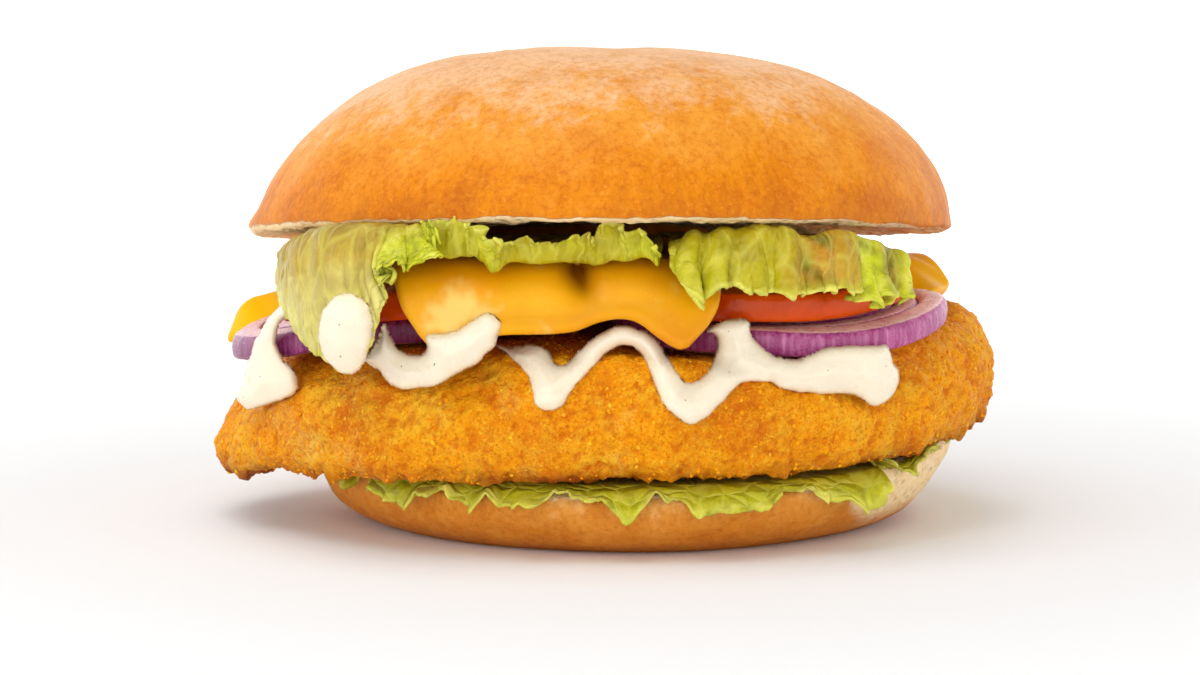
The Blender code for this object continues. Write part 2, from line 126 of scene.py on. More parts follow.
def weights(count: int, places: Array) -> Array:
    """Weights of evenly spaced knots for a smooth curve through them.

    Args:
        count: number of knots.
        places: places to read, from 0 to 1.

    Returns:
        A row of weights for each place.
    """
    s = np.clip(places, 0, 1) * (count - 1)
    i = np.minimum(s.astype(int), count - 2)
    t = s - i
    parts = 0.5 * np.stack([-t + 2 * t**2 - t**3, 2 - 5 * t**2 + 3 * t**3, t + 4 * t**2 - 3 * t**3, t**3 - t**2], 1)
    table = np.zeros((len(places), count))
    for k in range(4):
        np.add.at(table, (np.arange(len(places)), np.clip(i + k - 1, 0, count - 1)), parts[:, k])
    return table


def sheet_through(net: Sequence, rows: Array, columns: Array) -> Array:
    """Points of a smooth sheet through a net of points, at rows and columns from 0 to 1."""
    knots = np.array(net, float)
    return np.einsum("ia,abk,jb->ijk", weights(knots.shape[0], rows), knots, weights(knots.shape[1], columns))


def fractal(points: Array, size: float, octaves: int = 3, seed: float = 0.0) -> Array:
    """Soft noise between about -1 and 1.

    Args:
        points: places, in an array whose last axis is x, y, z.
        size: width of its widest lumps.
        octaves: number of finer layers in it.
        seed: another number gives another pattern.

    Returns:
        One value for each place.
    """
    flat = points.reshape(-1, 3) / size + seed * np.array((3.17, 1.71, 2.39))
    values = [noise.fractal(place, 0.8, 2.0, octaves) for place in flat.tolist()]
    return np.array(values).reshape(points.shape[:-1])


def wander(x: Array, size: float, seed: float) -> Array:
    """Soft noise along a line."""
    line = np.stack([x, np.zeros_like(x), np.zeros_like(x)], -1)
    return fractal(line, size, 2, seed)


def normals_of(points: Array, wrap: bool = False) -> Array:
    """Unit normals of a grid of points; wrap says that its columns run all the way round."""
    if wrap:
        padded = np.concatenate([points[:, -1:], points, points[:, :1]], 1)
        across = (padded[:, 2:] - padded[:, :-2]) / 2
    else:
        across = np.gradient(points, axis=1)
    normal = np.cross(across, np.gradient(points, axis=0))
    return normal / np.maximum(np.linalg.norm(normal, axis=-1, keepdims=True), 1e-9)


def run_along(points: Array, axis: int) -> Array:
    """Distance travelled along one axis of a grid of points."""
    steps = np.linalg.norm(np.diff(points, axis=axis), axis=-1)
    start = np.zeros_like(np.take(steps, [0], axis))
    return np.concatenate([start, np.cumsum(steps, axis)], axis)


def rounded_thickness(points: Array, thickness: float, radius: float) -> Array:
    """Thickness of a sheet whose edges are rounded off.

    Args:
        points: the grid of the sheet's middle.
        thickness: full thickness.
        radius: how far in from the edges the rounding reaches.

    Returns:
        Thickness at each point, 0 on the outline.
    """
    rim = np.full(points.shape[:2], np.inf)
    for axis in (0, 1):
        run = run_along(points, axis)
        rim = np.minimum(rim, np.minimum(run, np.take(run, [-1], axis) - run))
    return thickness * np.sqrt(1 - (1 - np.minimum(rim / radius, 1)) ** 2)


def edge_spaced(count: int, length: float, rim: float) -> Array:
    """Places from 0 to 1 with extra ones close to both ends, for a rounded edge of that rim."""
    near = rim / length * (1 - np.cos(np.linspace(0, math.pi / 2, 5)))
    return np.concatenate([near, np.linspace(near[-1], 1 - near[-1], count)[1:-1], 1 - near[::-1]])


# ---- meshes -----------------------------------------------------------------------------


@dataclass
class Shape:
    """A mesh in the making: points in millimetres, faces, and marks that its finish reads."""

    points: Array
    faces: list[list[int]]
    marks: dict[str, Array] = field(default_factory=dict)

    def outward(self) -> "Shape":
        """Turns the whole closed shape right side out."""
        corners = np.array([self.points[face[:3]] for face in self.faces])
        thirds = np.array([self.points[[face[0], face[-2], face[-1]]] for face in self.faces if len(face) == 4])
        both = np.concatenate([corners, thirds]) if len(thirds) else corners
        volume = np.einsum("ij,ij->i", both[:, 0], np.cross(both[:, 1], both[:, 2])).sum()
        if volume < 0:
            self.faces = [face[::-1] for face in self.faces]
        return self

    def joined(self, other: "Shape") -> "Shape":
        """This shape and another one as a single shape."""
        shift = len(self.points)
        faces = self.faces + [[corner + shift for corner in face] for face in other.faces]
        marks = {key: np.concatenate([self.marks[key], other.marks[key]]) for key in self.marks}
        return Shape(np.concatenate([self.points, other.points]), faces, marks)

    def tree(self) -> BVHTree:
        """Search tree of the shape, in millimetres."""
        return BVHTree.FromPolygons(self.points.tolist(), self.faces)


def quads(index: Array) -> list[list[int]]:
    """Faces between neighbouring rows and columns of a table of point numbers."""
    corners = [index[:-1, :-1], index[:-1, 1:], index[1:, 1:], index[1:, :-1]]
    return np.stack(corners, -1).reshape(-1, 4).tolist()


def closed_rings(rings: Array, marks: dict[str, Array]) -> Shape:
    """A closed body from rings of points, capped at both ends.

    Args:
        rings: points by ring and place round it.
        marks: values by ring and place round it.

    Returns:
        The shape, facing outwards.
    """
    count, steps = rings.shape[:2]
    index = np.arange(count * steps).reshape(count, steps)
    index = np.column_stack([index, index[:, 0]])
    first, last = count * steps, count * steps + 1
    caps = [[first, b, a] for a, b in zip(index[0], index[0, 1:])]
    caps += [[last, a, b] for a, b in zip(index[-1], index[-1, 1:])]
    points = np.concatenate([rings.reshape(-1, 3), [rings[0].mean(0), rings[-1].mean(0)]])
    values = {key: np.concatenate([v.ravel(), [v[0].mean(), v[-1].mean()]]) for key, v in marks.items()}
    faces = quads(index) + [[int(corner) for corner in cap] for cap in caps]
    return Shape(points, faces, values).outward()


def slab(points: Array, thickness: Array, marks: dict[str, Array]) -> Shape:
    """A closed sheet from a grid of points at its middle.

    Args:
        points: the grid.
        thickness: thickness at each point; the outline counts as 0.
        marks: values at each point.

    Returns:
        The shape, facing outwards.
    """
    rows, columns = points.shape[:2]
    half = normals_of(points) * thickness[..., None] / 2
    upper, lower = points + half, points - half
    for edge in ((0,), (-1,), (slice(None), 0), (slice(None), -1)):
        upper[edge] = points[edge]
    index = np.arange(rows * columns).reshape(rows, columns)
    under = index.copy()
    under[1:-1, 1:-1] = rows * columns + np.arange((rows - 2) * (columns - 2)).reshape(rows - 2, columns - 2)
    inside = (slice(1, -1), slice(1, -1))
    every = np.concatenate([upper.reshape(-1, 3), lower[inside].reshape(-1, 3)])
    values = {key: np.concatenate([v.ravel(), v[inside].ravel()]) for key, v in marks.items()}
    return Shape(every, quads(index) + [face[::-1] for face in quads(under)], values).outward()


def ring_body(rings: Array, marks: dict[str, Array]) -> Shape:
    """A closed hoop from cross-sections: points by place round the section and round the hoop."""
    count, steps = rings.shape[:2]
    index = np.arange(count * steps).reshape(count, steps)
    index = np.column_stack([index, index[:, 0]])
    index = np.vstack([index, index[:1]])
    return Shape(rings.reshape(-1, 3), quads(index), {key: v.ravel() for key, v in marks.items()}).outward()


def dressed(name: str, shape: Shape, material: bpy.types.Material, slot: Slot, *nodes: str) -> bpy.types.Object:
    """Makes a shape an object of the burger.

    Args:
        name: the piece's name.
        shape: its mesh, in millimetres.
        material: its finish.
        slot: not used.
        nodes: the frame's nodes that it stands for.

    Returns:
        The object, riding on the burger.
    """
    mesh = bpy.data.meshes.new(name)
    mesh.from_pydata((shape.points * MM).tolist(), [], shape.faces)
    for key, values in shape.marks.items():
        mesh.attributes.new(key, "FLOAT", "POINT").data.foreach_set("value", values.astype(np.float32))
    mesh.shade_smooth()
    mesh.materials.append(material)
    mesh.update()
    piece = bpy.data.objects.new(name, mesh)
    bpy.context.scene.collection.objects.link(piece)
    return placed(piece, slot, *nodes)


def placed(piece: bpy.types.Object, slot: Slot, *nodes: str) -> bpy.types.Object:
    """Ties a piece to the burger and hides the frame's nodes that it stands for."""
    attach(piece, "root")
    if nodes:
        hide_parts(*nodes)
    LOG.info("%s: %d faces", piece.name, len(piece.data.polygons))
    return piece


# ---- finishes ---------------------------------------------------------------------------


def screen(red: int, green: int, blue: int) -> Colour:
    """Colour from its values on a screen, 0 to 255."""
    linear = [((c / 255 + 0.055) / 1.055) ** 2.4 if c > 10 else c / 255 / 12.92 for c in (red, green, blue)]
    return (linear[0], linear[1], linear[2])


class Look:
    """Builds one procedural material, step by step."""

    def __init__(self, name: str) -> None:
        """Starts a material of that name."""
        self.material = bpy.data.materials.new(name)
        self.material.use_nodes = True
        self.tree = self.material.node_tree
        self.shader = self.tree.nodes["Principled BSDF"]
        self.object_place = self.node("ShaderNodeTexCoord").outputs["Object"]

    def node(self, kind: str, sockets: dict | None = None, **settings: object) -> bpy.types.Node:
        """Adds a node.

        Args:
            kind: its type.
            sockets: values or outputs for its inputs, by name or number.
            settings: its own properties.

        Returns:
            The node.
        """
        made = self.tree.nodes.new(kind)
        for key, value in settings.items():
            setattr(made, key, value)
        for key, value in (sockets or {}).items():
            self.feed(made.inputs[key], value)
        return made

    def feed(self, socket: bpy.types.NodeSocket, value: object) -> None:
        """Links an output to a socket, or sets the socket's own value."""
        if isinstance(value, bpy.types.NodeSocket):
            self.tree.links.new(value, socket)
        elif isinstance(value, tuple) and socket.type == "RGBA":
            socket.default_value = (*value, 1)
        else:
            socket.default_value = value

    def mark(self, name: str) -> bpy.types.NodeSocket:
        """A mark that the mesh carries."""
        return self.node("ShaderNodeAttribute", attribute_name=name).outputs["Fac"]

    def stretched(self, x: float, y: float, z: float) -> bpy.types.NodeSocket:
        """Object coordinates scaled along each axis."""
        return self.node("ShaderNodeMapping", {"Vector": self.object_place, "Scale": (x, y, z)}).outputs[0]

    def joined(self, x: object, y: object, z: object = 0.0) -> bpy.types.NodeSocket:
        """A vector from three values."""
        return self.node("ShaderNodeCombineXYZ", {0: x, 1: y, 2: z}).outputs[0]

    def noise(self, size: float, detail: float = 3, rough: float = 0.55, warp: float = 0, at: object = None) -> bpy.types.NodeSocket:
        """Noise from 0 to 1 with lumps of that size in millimetres."""
        sockets = {"Vector": at or self.object_place, "Scale": 1000 / size, "Detail": detail, "Roughness": rough, "Distortion": warp}
        return self.node("ShaderNodeTexNoise", sockets).outputs["Fac"]

    def cells(self, size: float, feature: str = "F1", at: object = None) -> bpy.types.NodeSocket:
        """Distance pattern of cells of that size in millimetres."""
        sockets = {"Vector": at or self.object_place, "Scale": 1000 / size}
        return self.node("ShaderNodeTexVoronoi", sockets, feature=feature).outputs["Distance"]

    def spread(self, value: object, low: float, high: float, to_low: float = 0, to_high: float = 1) -> bpy.types.NodeSocket:
        """Stretches values between low and high to a new range."""
        sockets = {"Value": value, "From Min": low, "From Max": high, "To Min": to_low, "To Max": to_high}
        return self.node("ShaderNodeMapRange", sockets).outputs["Result"]

    def maths(self, operation: str, a: object, b: object = 0.0) -> bpy.types.NodeSocket:
        """One sum of two values."""
        return self.node("ShaderNodeMath", {0: a, 1: b}, operation=operation).outputs[0]

    def mix(self, a: object, b: object, amount: object, mode: str = "MIX") -> bpy.types.NodeSocket:
        """Mixes colour b into colour a."""
        made = self.node("ShaderNodeMix", data_type="RGBA", blend_type=mode, clamp_factor=True)
        for number, value in ((0, amount), (6, a), (7, b)):
            self.feed(made.inputs[number], value)
        return made.outputs[2]

    def ramp(self, value: object, stops: Sequence[tuple[float, Colour]]) -> bpy.types.NodeSocket:
        """Colours along a value."""
        made = self.node("ShaderNodeValToRGB", {0: value})
        elements = made.color_ramp.elements
        while len(elements) < len(stops):
            elements.new(0.5)
        for element, (place, colour) in zip(elements, stops):
            element.position = place
            element.color = (*colour, 1)
        return made.outputs["Color"]

    def bump(self, height: object, depth: float, normal: object = None, strength: float = 1.0) -> bpy.types.NodeSocket:
        """Relief of that depth in millimetres, on top of another one if given."""
        sockets = {"Height": height, "Distance": depth * MM, "Strength": strength}
        if normal is not None:
            sockets["Normal"] = normal
        return self.node("ShaderNodeBump", sockets).outputs[0]

    def done(self, **sockets: object) -> bpy.types.Material:
        """Fills the shader's sockets, named with _ for a space, and hands over the material."""
        for key, value in sockets.items():
            self.feed(self.shader.inputs[key.replace("_", " ")], value)
        return self.material


@dataclass(frozen=True)
class CrustFinish:
    """Baked bun: satin crust on the outside, pale open crumb where it was cut."""

    name: str
    rim: Colour
    low: Colour
    middle: Colour
    top: Colour
    crumb: Colour = screen(244, 212, 160)
    gloss: float = 0.46

    def material(self) -> bpy.types.Material:
        """Crust that grows paler upwards, partly its own tone and partly a painted sheen of the overhead light, with
        mottling and fine wrinkles, and porous crumb.
        """
        look = Look(self.name)
        rise, cut = look.mark("rise"), look.mark("cut")
        streaks = look.noise(2.8, 5, 0.72, 0.4, look.stretched(1, 1, 0.45))
        warped = look.maths("ADD", rise, look.spread(look.noise(14, 5, 0.65), 0.3, 0.7, -0.17, 0.17))
        warped = look.maths("ADD", warped, look.spread(streaks, 0.3, 0.7, -0.17, 0.17))
        # The ramp along the height mark paints the top paler: partly the crust's own tone, partly a painted sheen of
        # the overhead light.
        crust = look.ramp(warped, ((0.0, self.rim), (0.15, self.low), (0.5, self.middle), (0.78, self.top)))
        drift = look.spread(look.noise(8, 5, 0.65), 0.44, 0.64, 0, 0.55)
        crust = look.mix(crust, (0.86, 0.66, 0.38), drift, "MULTIPLY")
        freckles = look.spread(look.noise(1.0, 4, 0.75), 0.47, 0.65, 0, 0.6)
        crust = look.mix(crust, (0.80, 0.60, 0.30), freckles, "MULTIPLY")
        crust = look.mix(crust, self.middle, look.spread(look.noise(0.75, 2, 0.6), 0.58, 0.70, 0, 0.4))
        pores = look.cells(1.5)
        crumb = look.mix(self.crumb, tuple(0.66 * c for c in self.crumb), look.spread(pores, 0.25, 0.0))
        crumb = look.mix(crumb, (1.0, 0.86, 0.66), look.spread(look.noise(2.2, 4, 0.6), 0.45, 0.8, 0, 0.6))
        colour = look.mix(crust, crumb, cut)
        satin = look.spread(look.noise(5, 4, 0.6), 0.3, 0.7, self.gloss - 0.05, self.gloss + 0.09)
        rough = look.maths("MAXIMUM", satin, look.maths("MULTIPLY", cut, 0.85))
        fine = look.maths("ADD", look.noise(0.55, 3, 0.6), look.maths("MULTIPLY", look.noise(2.4, 3, 0.6, 0.8), 0.8))
        holes = look.maths("MULTIPLY", look.spread(pores, 0.0, 0.5), look.maths("MULTIPLY", cut, 3.0))
        relief = look.bump(look.maths("ADD", fine, holes), 0.16)
        return look.done(Base_Color=colour, Roughness=rough, Normal=relief, Subsurface_Weight=0.05, Subsurface_Scale=0.003, Specular_IOR_Level=0.13)


@dataclass(frozen=True)
class BreadingFinish:
    """Fried breadcrumb coat, mottled from pale gold to brown."""

    gold: Colour = screen(252, 162, 2)
    cream: Colour = screen(252, 212, 112)
    pale: Colour = screen(254, 200, 48)
    brown: Colour = screen(210, 98, 2)
    dark: Colour = screen(134, 46, 4)

    def material(self) -> bpy.types.Material:
        """Gold with patches, brown between and under the crumbs, with painted shade along its lower edge and real
        browning at its left tip.
        """
        look = Look("breading")
        crumb, char_and_shade = look.mark("crumb"), look.mark("char_and_shade")
        patch = look.noise(13, 4, 0.6, 0.6)
        colour = look.mix(self.gold, self.brown, look.spread(patch, 0.44, 0.66, 0, 0.62))
        colour = look.mix(colour, self.pale, look.spread(look.noise(9, 4, 0.65, 0.3), 0.50, 0.68, 0, 0.7))
        colour = look.mix(colour, self.cream, look.spread(look.noise(12, 3, 0.6, 0.4), 0.56, 0.74, 0, 0.4))
        small = look.noise(1.9, 3, 0.6)
        colour = look.mix(colour, self.brown, look.spread(small, 0.54, 0.74, 0, 0.42))
        grain = look.noise(0.5, 3, 0.7)
        colour = look.mix(colour, self.pale, look.spread(grain, 0.54, 0.68, 0, 0.75))
        colour = look.mix(colour, self.brown, look.spread(grain, 0.46, 0.34, 0, 0.7))
        colour = look.mix(colour, self.brown, look.maths("MULTIPLY", look.spread(crumb, 0.42, 0.05), 0.7))
        colour = look.mix(colour, self.pale, look.maths("MULTIPLY", look.spread(crumb, 0.62, 1.0), 0.3))
        # Dark brown as painted shade along the fillet's underside, and as real browning at its left tip.
        colour = look.mix(colour, self.dark, look.maths("MULTIPLY", char_and_shade, 0.85))
        rough = look.spread(look.noise(1.4, 3), 0.3, 0.7, 0.38, 0.62)
        relief = look.bump(look.maths("ADD", look.maths("MULTIPLY", grain, 1.2), look.noise(1.1, 2, 0.6)), 0.42)
        return look.done(Base_Color=colour, Roughness=rough, Normal=relief, Subsurface_Weight=0.08, Subsurface_Scale=0.003, Specular_IOR_Level=0.12)


@dataclass(frozen=True)
class CrumbFinish:
    """Loose crumbs of the coat, each of a colour of its own."""

    name: str
    shades: tuple[Colour, ...]

    def material(self) -> bpy.types.Material:
        """Colour drawn crumb by crumb from the mark that the scatter leaves."""
        look = Look(self.name)
        stops = [(i / (len(self.shades) - 1), shade) for i, shade in enumerate(self.shades)]
        colour = look.ramp(look.mark("shade"), stops)
        colour = look.mix(colour, self.shades[0], look.spread(look.noise(0.5, 2), 0.5, 0.75, 0, 0.4))
        relief = look.bump(look.noise(0.25, 2), 0.1)
        return look.done(Base_Color=colour, Roughness=0.6, Normal=relief, Subsurface_Weight=0.05, Subsurface_Scale=0.002, Specular_IOR_Level=0.12)


@dataclass(frozen=True)
class LeafFinish:
    """Lettuce: pale and veined inside, bright at its frilled margin."""

    name: str
    heart: Colour
    blade: Colour
    margin: Colour
    tip: Colour = screen(226, 220, 96)
    fresh: Colour = screen(200, 204, 28)
    stain: Colour = screen(188, 130, 26)

    def material(self) -> bpy.types.Material:
        """Veins branch towards the margin; the blade has small blisters and a waxy gloss."""
        look = Look(self.name)
        edge, along, out = look.mark("edge"), look.mark("along"), look.mark("out")
        place = look.joined(look.maths("MULTIPLY", along, 1.0), look.maths("MULTIPLY", out, 0.38))
        wobble = look.spread(look.noise(7, 3), 0.3, 0.7, -0.09, 0.09)
        tone = look.maths("ADD", edge, wobble)
        colour = look.ramp(tone, ((0.0, self.heart), (0.45, self.blade), (0.82, self.margin), (0.93, self.margin), (0.97, self.tip)))
        patches = look.spread(look.noise(5.5, 4, 0.6), 0.42, 0.68, 0, 0.55)
        colour = look.mix(colour, tuple(0.55 * c for c in self.blade), patches)
        fibres = look.noise(0.7, 3, 0.6, 0, look.joined(along, look.maths("MULTIPLY", out, 0.12)))
        colour = look.mix(colour, tuple(0.5 * c for c in self.blade), look.spread(fibres, 0.54, 0.72, 0, 0.38))
        frill = look.ramp(look.noise(2.6, 3), ((0.32, tuple(0.5 * c for c in self.fresh)), (0.52, self.fresh), (0.72, self.tip)))
        colour = look.mix(colour, frill, look.mark("frill"))
        soaked = look.maths("MULTIPLY", look.mark("stain"), look.spread(look.noise(9, 2), 0.36, 0.56, 0.25, 0.9))
        brown = look.mix(self.stain, tuple(0.34 * c for c in self.blade), look.spread(look.noise(7, 2), 0.46, 0.60))
        colour = look.mix(colour, brown, soaked)
        veins = look.cells(3.6, "DISTANCE_TO_EDGE", place)
        fine = look.cells(1.5, "DISTANCE_TO_EDGE", place)
        lines = look.maths("MAXIMUM", look.spread(veins, 0.11, 0.0), look.maths("MULTIPLY", look.spread(fine, 0.12, 0.0), 0.4))
        colour = look.mix(colour, self.tip, look.maths("MULTIPLY", lines, 0.34))
        blister = look.maths("ADD", look.spread(veins, 0.0, 0.35), look.maths("MULTIPLY", look.noise(0.8, 3), 0.35))
        relief = look.bump(blister, 0.45)
        rough = look.spread(look.noise(2.5, 3), 0.3, 0.7, 0.30, 0.46)
        return look.done(
            Base_Color=colour, Roughness=rough, Normal=relief, Subsurface_Weight=0.22,
            Subsurface_Radius=(0.9, 1.0, 0.25), Subsurface_Scale=0.0016, Specular_IOR_Level=0.25,
        )


@dataclass(frozen=True)
class OnionFinish:
    """Red onion: purple skin with fine upright streaks round each ring, pinkish-white flesh."""

    name: str
    skin: Colour = screen(160, 48, 116)
    pale_skin: Colour = screen(206, 120, 170)
    flesh: Colour = screen(244, 200, 190)
    blush: Colour = screen(226, 150, 164)

    def material(self) -> bpy.types.Material:
        """Skin on the ring's outer face, blushing into the flesh."""
        look = Look(self.name)
        skin = look.mark("skin")
        streaks = look.noise(0.75, 3, 0.6, 0.3, look.stretched(1, 1, 0.10))
        purple = look.mix(self.skin, self.pale_skin, look.spread(streaks, 0.40, 0.70))
        flesh = look.mix(self.flesh, self.blush, look.spread(look.noise(1.6, 3, 0.6), 0.42, 0.72, 0, 0.7))
        amount = look.maths("ADD", skin, look.spread(look.noise(0.6, 3), 0.3, 0.7, -0.16, 0.16))
        colour = look.mix(flesh, purple, look.spread(amount, 0.42, 0.62))
        relief = look.bump(look.maths("ADD", streaks, look.noise(0.5, 2)), 0.12)
        return look.done(
            Base_Color=colour, Roughness=look.spread(look.noise(1.5), 0.3, 0.7, 0.22, 0.38), Normal=relief,
            Subsurface_Weight=0.2, Subsurface_Radius=(1.0, 0.5, 0.6), Subsurface_Scale=0.0015,
        )


@dataclass(frozen=True)
class TomatoFinish:
    """Tomato: glossy skin round the edge, wet flesh on the cut faces."""

    skin: Colour = screen(238, 88, 8)
    deep: Colour = screen(176, 30, 4)
    flesh: Colour = screen(226, 96, 50)

    def material(self) -> bpy.types.Material:
        """Even red skin with faint flecks, flesh with softer patches."""
        look = Look("tomato")
        skin = look.mark("skin")
        red = look.mix(self.skin, self.deep, look.spread(look.noise(7, 3), 0.42, 0.7, 0, 0.6))
        red = look.mix(red, (0.86, 0.24, 0.08), look.spread(look.noise(0.5, 2), 0.62, 0.8, 0, 0.35))
        flesh = look.mix(self.flesh, self.skin, look.spread(look.noise(2.8, 4), 0.42, 0.62, 0, 0.8))
        colour = look.mix(flesh, red, skin)
        rough = look.spread(look.noise(2.0, 3), 0.3, 0.7, 0.12, 0.24)
        relief = look.bump(look.noise(1.1, 3, 0.5), 0.12)
        return look.done(
            Base_Color=colour, Roughness=rough, Normal=relief, Coat_Weight=0.08, Coat_Roughness=0.12, Specular_IOR_Level=0.2,
            Subsurface_Weight=0.2, Subsurface_Radius=(1.0, 0.25, 0.1), Subsurface_Scale=0.002,
        )


@dataclass(frozen=True)
class CheeseFinish:
    """Soft orange-yellow cheese slice with a dull gloss."""

    name: str = "cheese"
    shine: float = 0.2
    yellow: Colour = screen(248, 176, 4)
    orange: Colour = screen(232, 144, 0)
    veil: Colour = screen(252, 226, 132)

    def material(self) -> bpy.types.Material:
        """Yellow with slow drifts to orange, a faint grain and painted shade where the mesh marks it."""
        look = Look(self.name)
        colour = look.mix(self.yellow, self.orange, look.spread(look.noise(18, 3), 0.40, 0.66, 0, 0.75))
        colour = look.mix(colour, (1.0, 0.55, 0.08), look.spread(look.noise(1.3, 3), 0.60, 0.82, 0, 0.2))
        colour = look.mix(colour, self.veil, look.mark("veil"))
        # Painted shade: dark brown in the pinched crease, along the top band under the crown and at the hem.
        colour = look.mix(colour, screen(120, 52, 4), look.maths("MULTIPLY", look.mark("painted_shade"), 0.85))
        rough = look.spread(look.noise(4, 4), 0.3, 0.7, 0.30, 0.42)
        relief = look.bump(look.maths("ADD", look.noise(2.6, 2), look.maths("MULTIPLY", look.noise(0.4, 2), 0.25)), 0.10)
        return look.done(
            Base_Color=colour, Roughness=rough, Normal=relief, Subsurface_Weight=0.22,
            Subsurface_Radius=(1.0, 0.5, 0.1), Subsurface_Scale=0.003, Specular_IOR_Level=self.shine,
        )


@dataclass(frozen=True)
class SauceFinish:
    """Creamy white sauce, wet and slightly see-through at its thin rims."""

    cream: Colour = screen(240, 228, 204)
    warm: Colour = screen(242, 222, 180)

    def material(self) -> bpy.types.Material:
        """Cream that turns warmer where it is thin, with tiny pits."""
        look = Look("sauce")
        thin = look.mark("thin")
        colour = look.mix(self.cream, self.warm, look.maths("MULTIPLY", thin, 0.75))
        colour = look.mix(colour, (0.86, 0.76, 0.55), look.spread(look.noise(0.7, 2), 0.66, 0.82, 0, 0.35))
        relief = look.bump(look.maths("ADD", look.noise(3.0, 2), look.maths("MULTIPLY", look.noise(0.6, 2), 0.2)), 0.14)
        return look.done(
            Base_Color=colour, Roughness=look.spread(look.noise(3.0), 0.3, 0.7, 0.20, 0.34), Normal=relief,
            Subsurface_Weight=0.25, Subsurface_Radius=(1.0, 0.8, 0.5), Subsurface_Scale=0.002, Specular_IOR_Level=0.5,
        )


@dataclass(frozen=True)
class FloorFinish:
    """Matt white studio floor."""

    white: Colour = (0.93, 0.93, 0.93)

    def material(self) -> bpy.types.Material:
        """White with a barely seen drift; its far rim glows as a lit backdrop does."""
        look = Look("studio_floor")
        colour = look.mix(self.white, tuple(0.985 * c for c in self.white), look.noise(90, 2))
        reach = look.node("ShaderNodeVectorMath", {0: look.object_place}, operation="LENGTH").outputs["Value"]
        glow = look.spread(reach, 0.10, 0.80, 0.0, 0.75)
        return look.done(Base_Color=colour, Roughness=0.8, Specular_IOR_Level=0.1, Emission_Color=(1.0, 1.0, 1.0), Emission_Strength=glow)


# ---- the frame's own heights ------------------------------------------------------------


DRAWN = {
    "bun_crown": (-58.3, -57.61, 41.56),
    "bun_heel": (-47.0, -53.0, 0.0),
    "cheese_flap": (-31.15, -54.3, 33.35),
    "cheese_slice": (-63.65, -49.63, 18.65),
    "chicken_fillet": (-63.68, -56.63, 7.43),
    "lettuce_back": (-52.57, 8.84, 32.5),
    "lettuce_front": (-28.56, -54.32, 47.54),
    "lettuce_left": (-50.87, -52.97, 28.56),
    "lettuce_lower": (-47.88, -56.9, 6.27),
    "lettuce_right": (4.38, -53.87, 39.91),
    "onion_left": (-60.0, -38.3, 26.88),
    "onion_right": (1.5, -48.8, 30.97),
    "sauce_drizzle": (-14.61, -57.52, 22.46),
    "sauce_front_left": (-31.12, -51.32, 26.92),
    "sauce_left_end": (-55.99, -32.07, 20.81),
    "sauce_on_leaf": (-43.23, -52.98, 28.97),
    "tomato_left": (-50.6, -45.32, 34.22),
    "tomato_right": (0.2, -46.32, 36.67),
}


def shift_of(node: str) -> Array:
    """How far a node's lowest corner lies from where its layer was drawn, in millimetres."""
    return np.array(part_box(node)[0]) / MM - np.array(DRAWN[node])


@dataclass(frozen=True)
class Stack:
    """Heights at which the layers lie on each other, in millimetres."""

    gap: float = 0.35
    heel_x: float = 6.0
    heel_radius: float = 53.0
    heel_height: float = 12.2
    forward: float = 0.035
    fillet_underside: float = 14.5
    fillet_thickness: Pairs = ((-64, 11.5), (-52, 15), (-30, 17.3), (0, 18), (30, 18.2), (64, 19.6))
    right_rise: float = 1.3
    sinking: float = 1.3
    slices_left: float = -46.0
    slices_slope: float = 0.28
    slice_thickness: float = 4.3
    droop_start: float = 50.0
    droop_bend: float = 0.016

    def rising(self, x: Array) -> Array:
        """How much higher the fillet and what lies on it stand towards the right."""
        return self.right_rise * smooth_step((x - 28) / 30)

    def settled(self, x: Array, y: Array) -> Array:
        """How deep the right-hand slices have sunk into the coat."""
        return self.sinking * smooth_step((34 - np.hypot(x - 29, y + 21.5)) / 6)

    def on_fillet(self, x: Array, y: Array) -> Array:
        """Height of a layer that rests on the top of the fillet."""
        inside = np.maximum(self.slices_left, x)
        top = self.fillet_underside + self.forward * y + self.rising(x) + through(self.fillet_thickness, inside)
        return top - self.settled(x, y) + 2.2 * self.gap - self.slices_slope * (inside - x)

    def droop(self, x: Array, y: Array) -> Array:
        """How far the slices hang over the rounded edge of the fillet, in front."""
        distance = np.hypot(x, y)
        in_front = smooth_step(-1.6 * y / np.maximum(distance, 1) - 0.5)
        return self.droop_bend * in_front * np.maximum(0, distance - self.droop_start) ** 2

    def salad_top(self, x: Array, y: Array) -> Array:
        """Where the cheese lies: on the tomatoes in front, down to the fillet behind them."""
        in_front = 1 - smooth_step((y - 3) / 32)
        return self.on_fillet(x, y) + (2 * self.slice_thickness + 3 * self.gap) * in_front - self.droop(x, y)


STACK = Stack()


# ---- crumbs and flecks ------------------------------------------------------------------


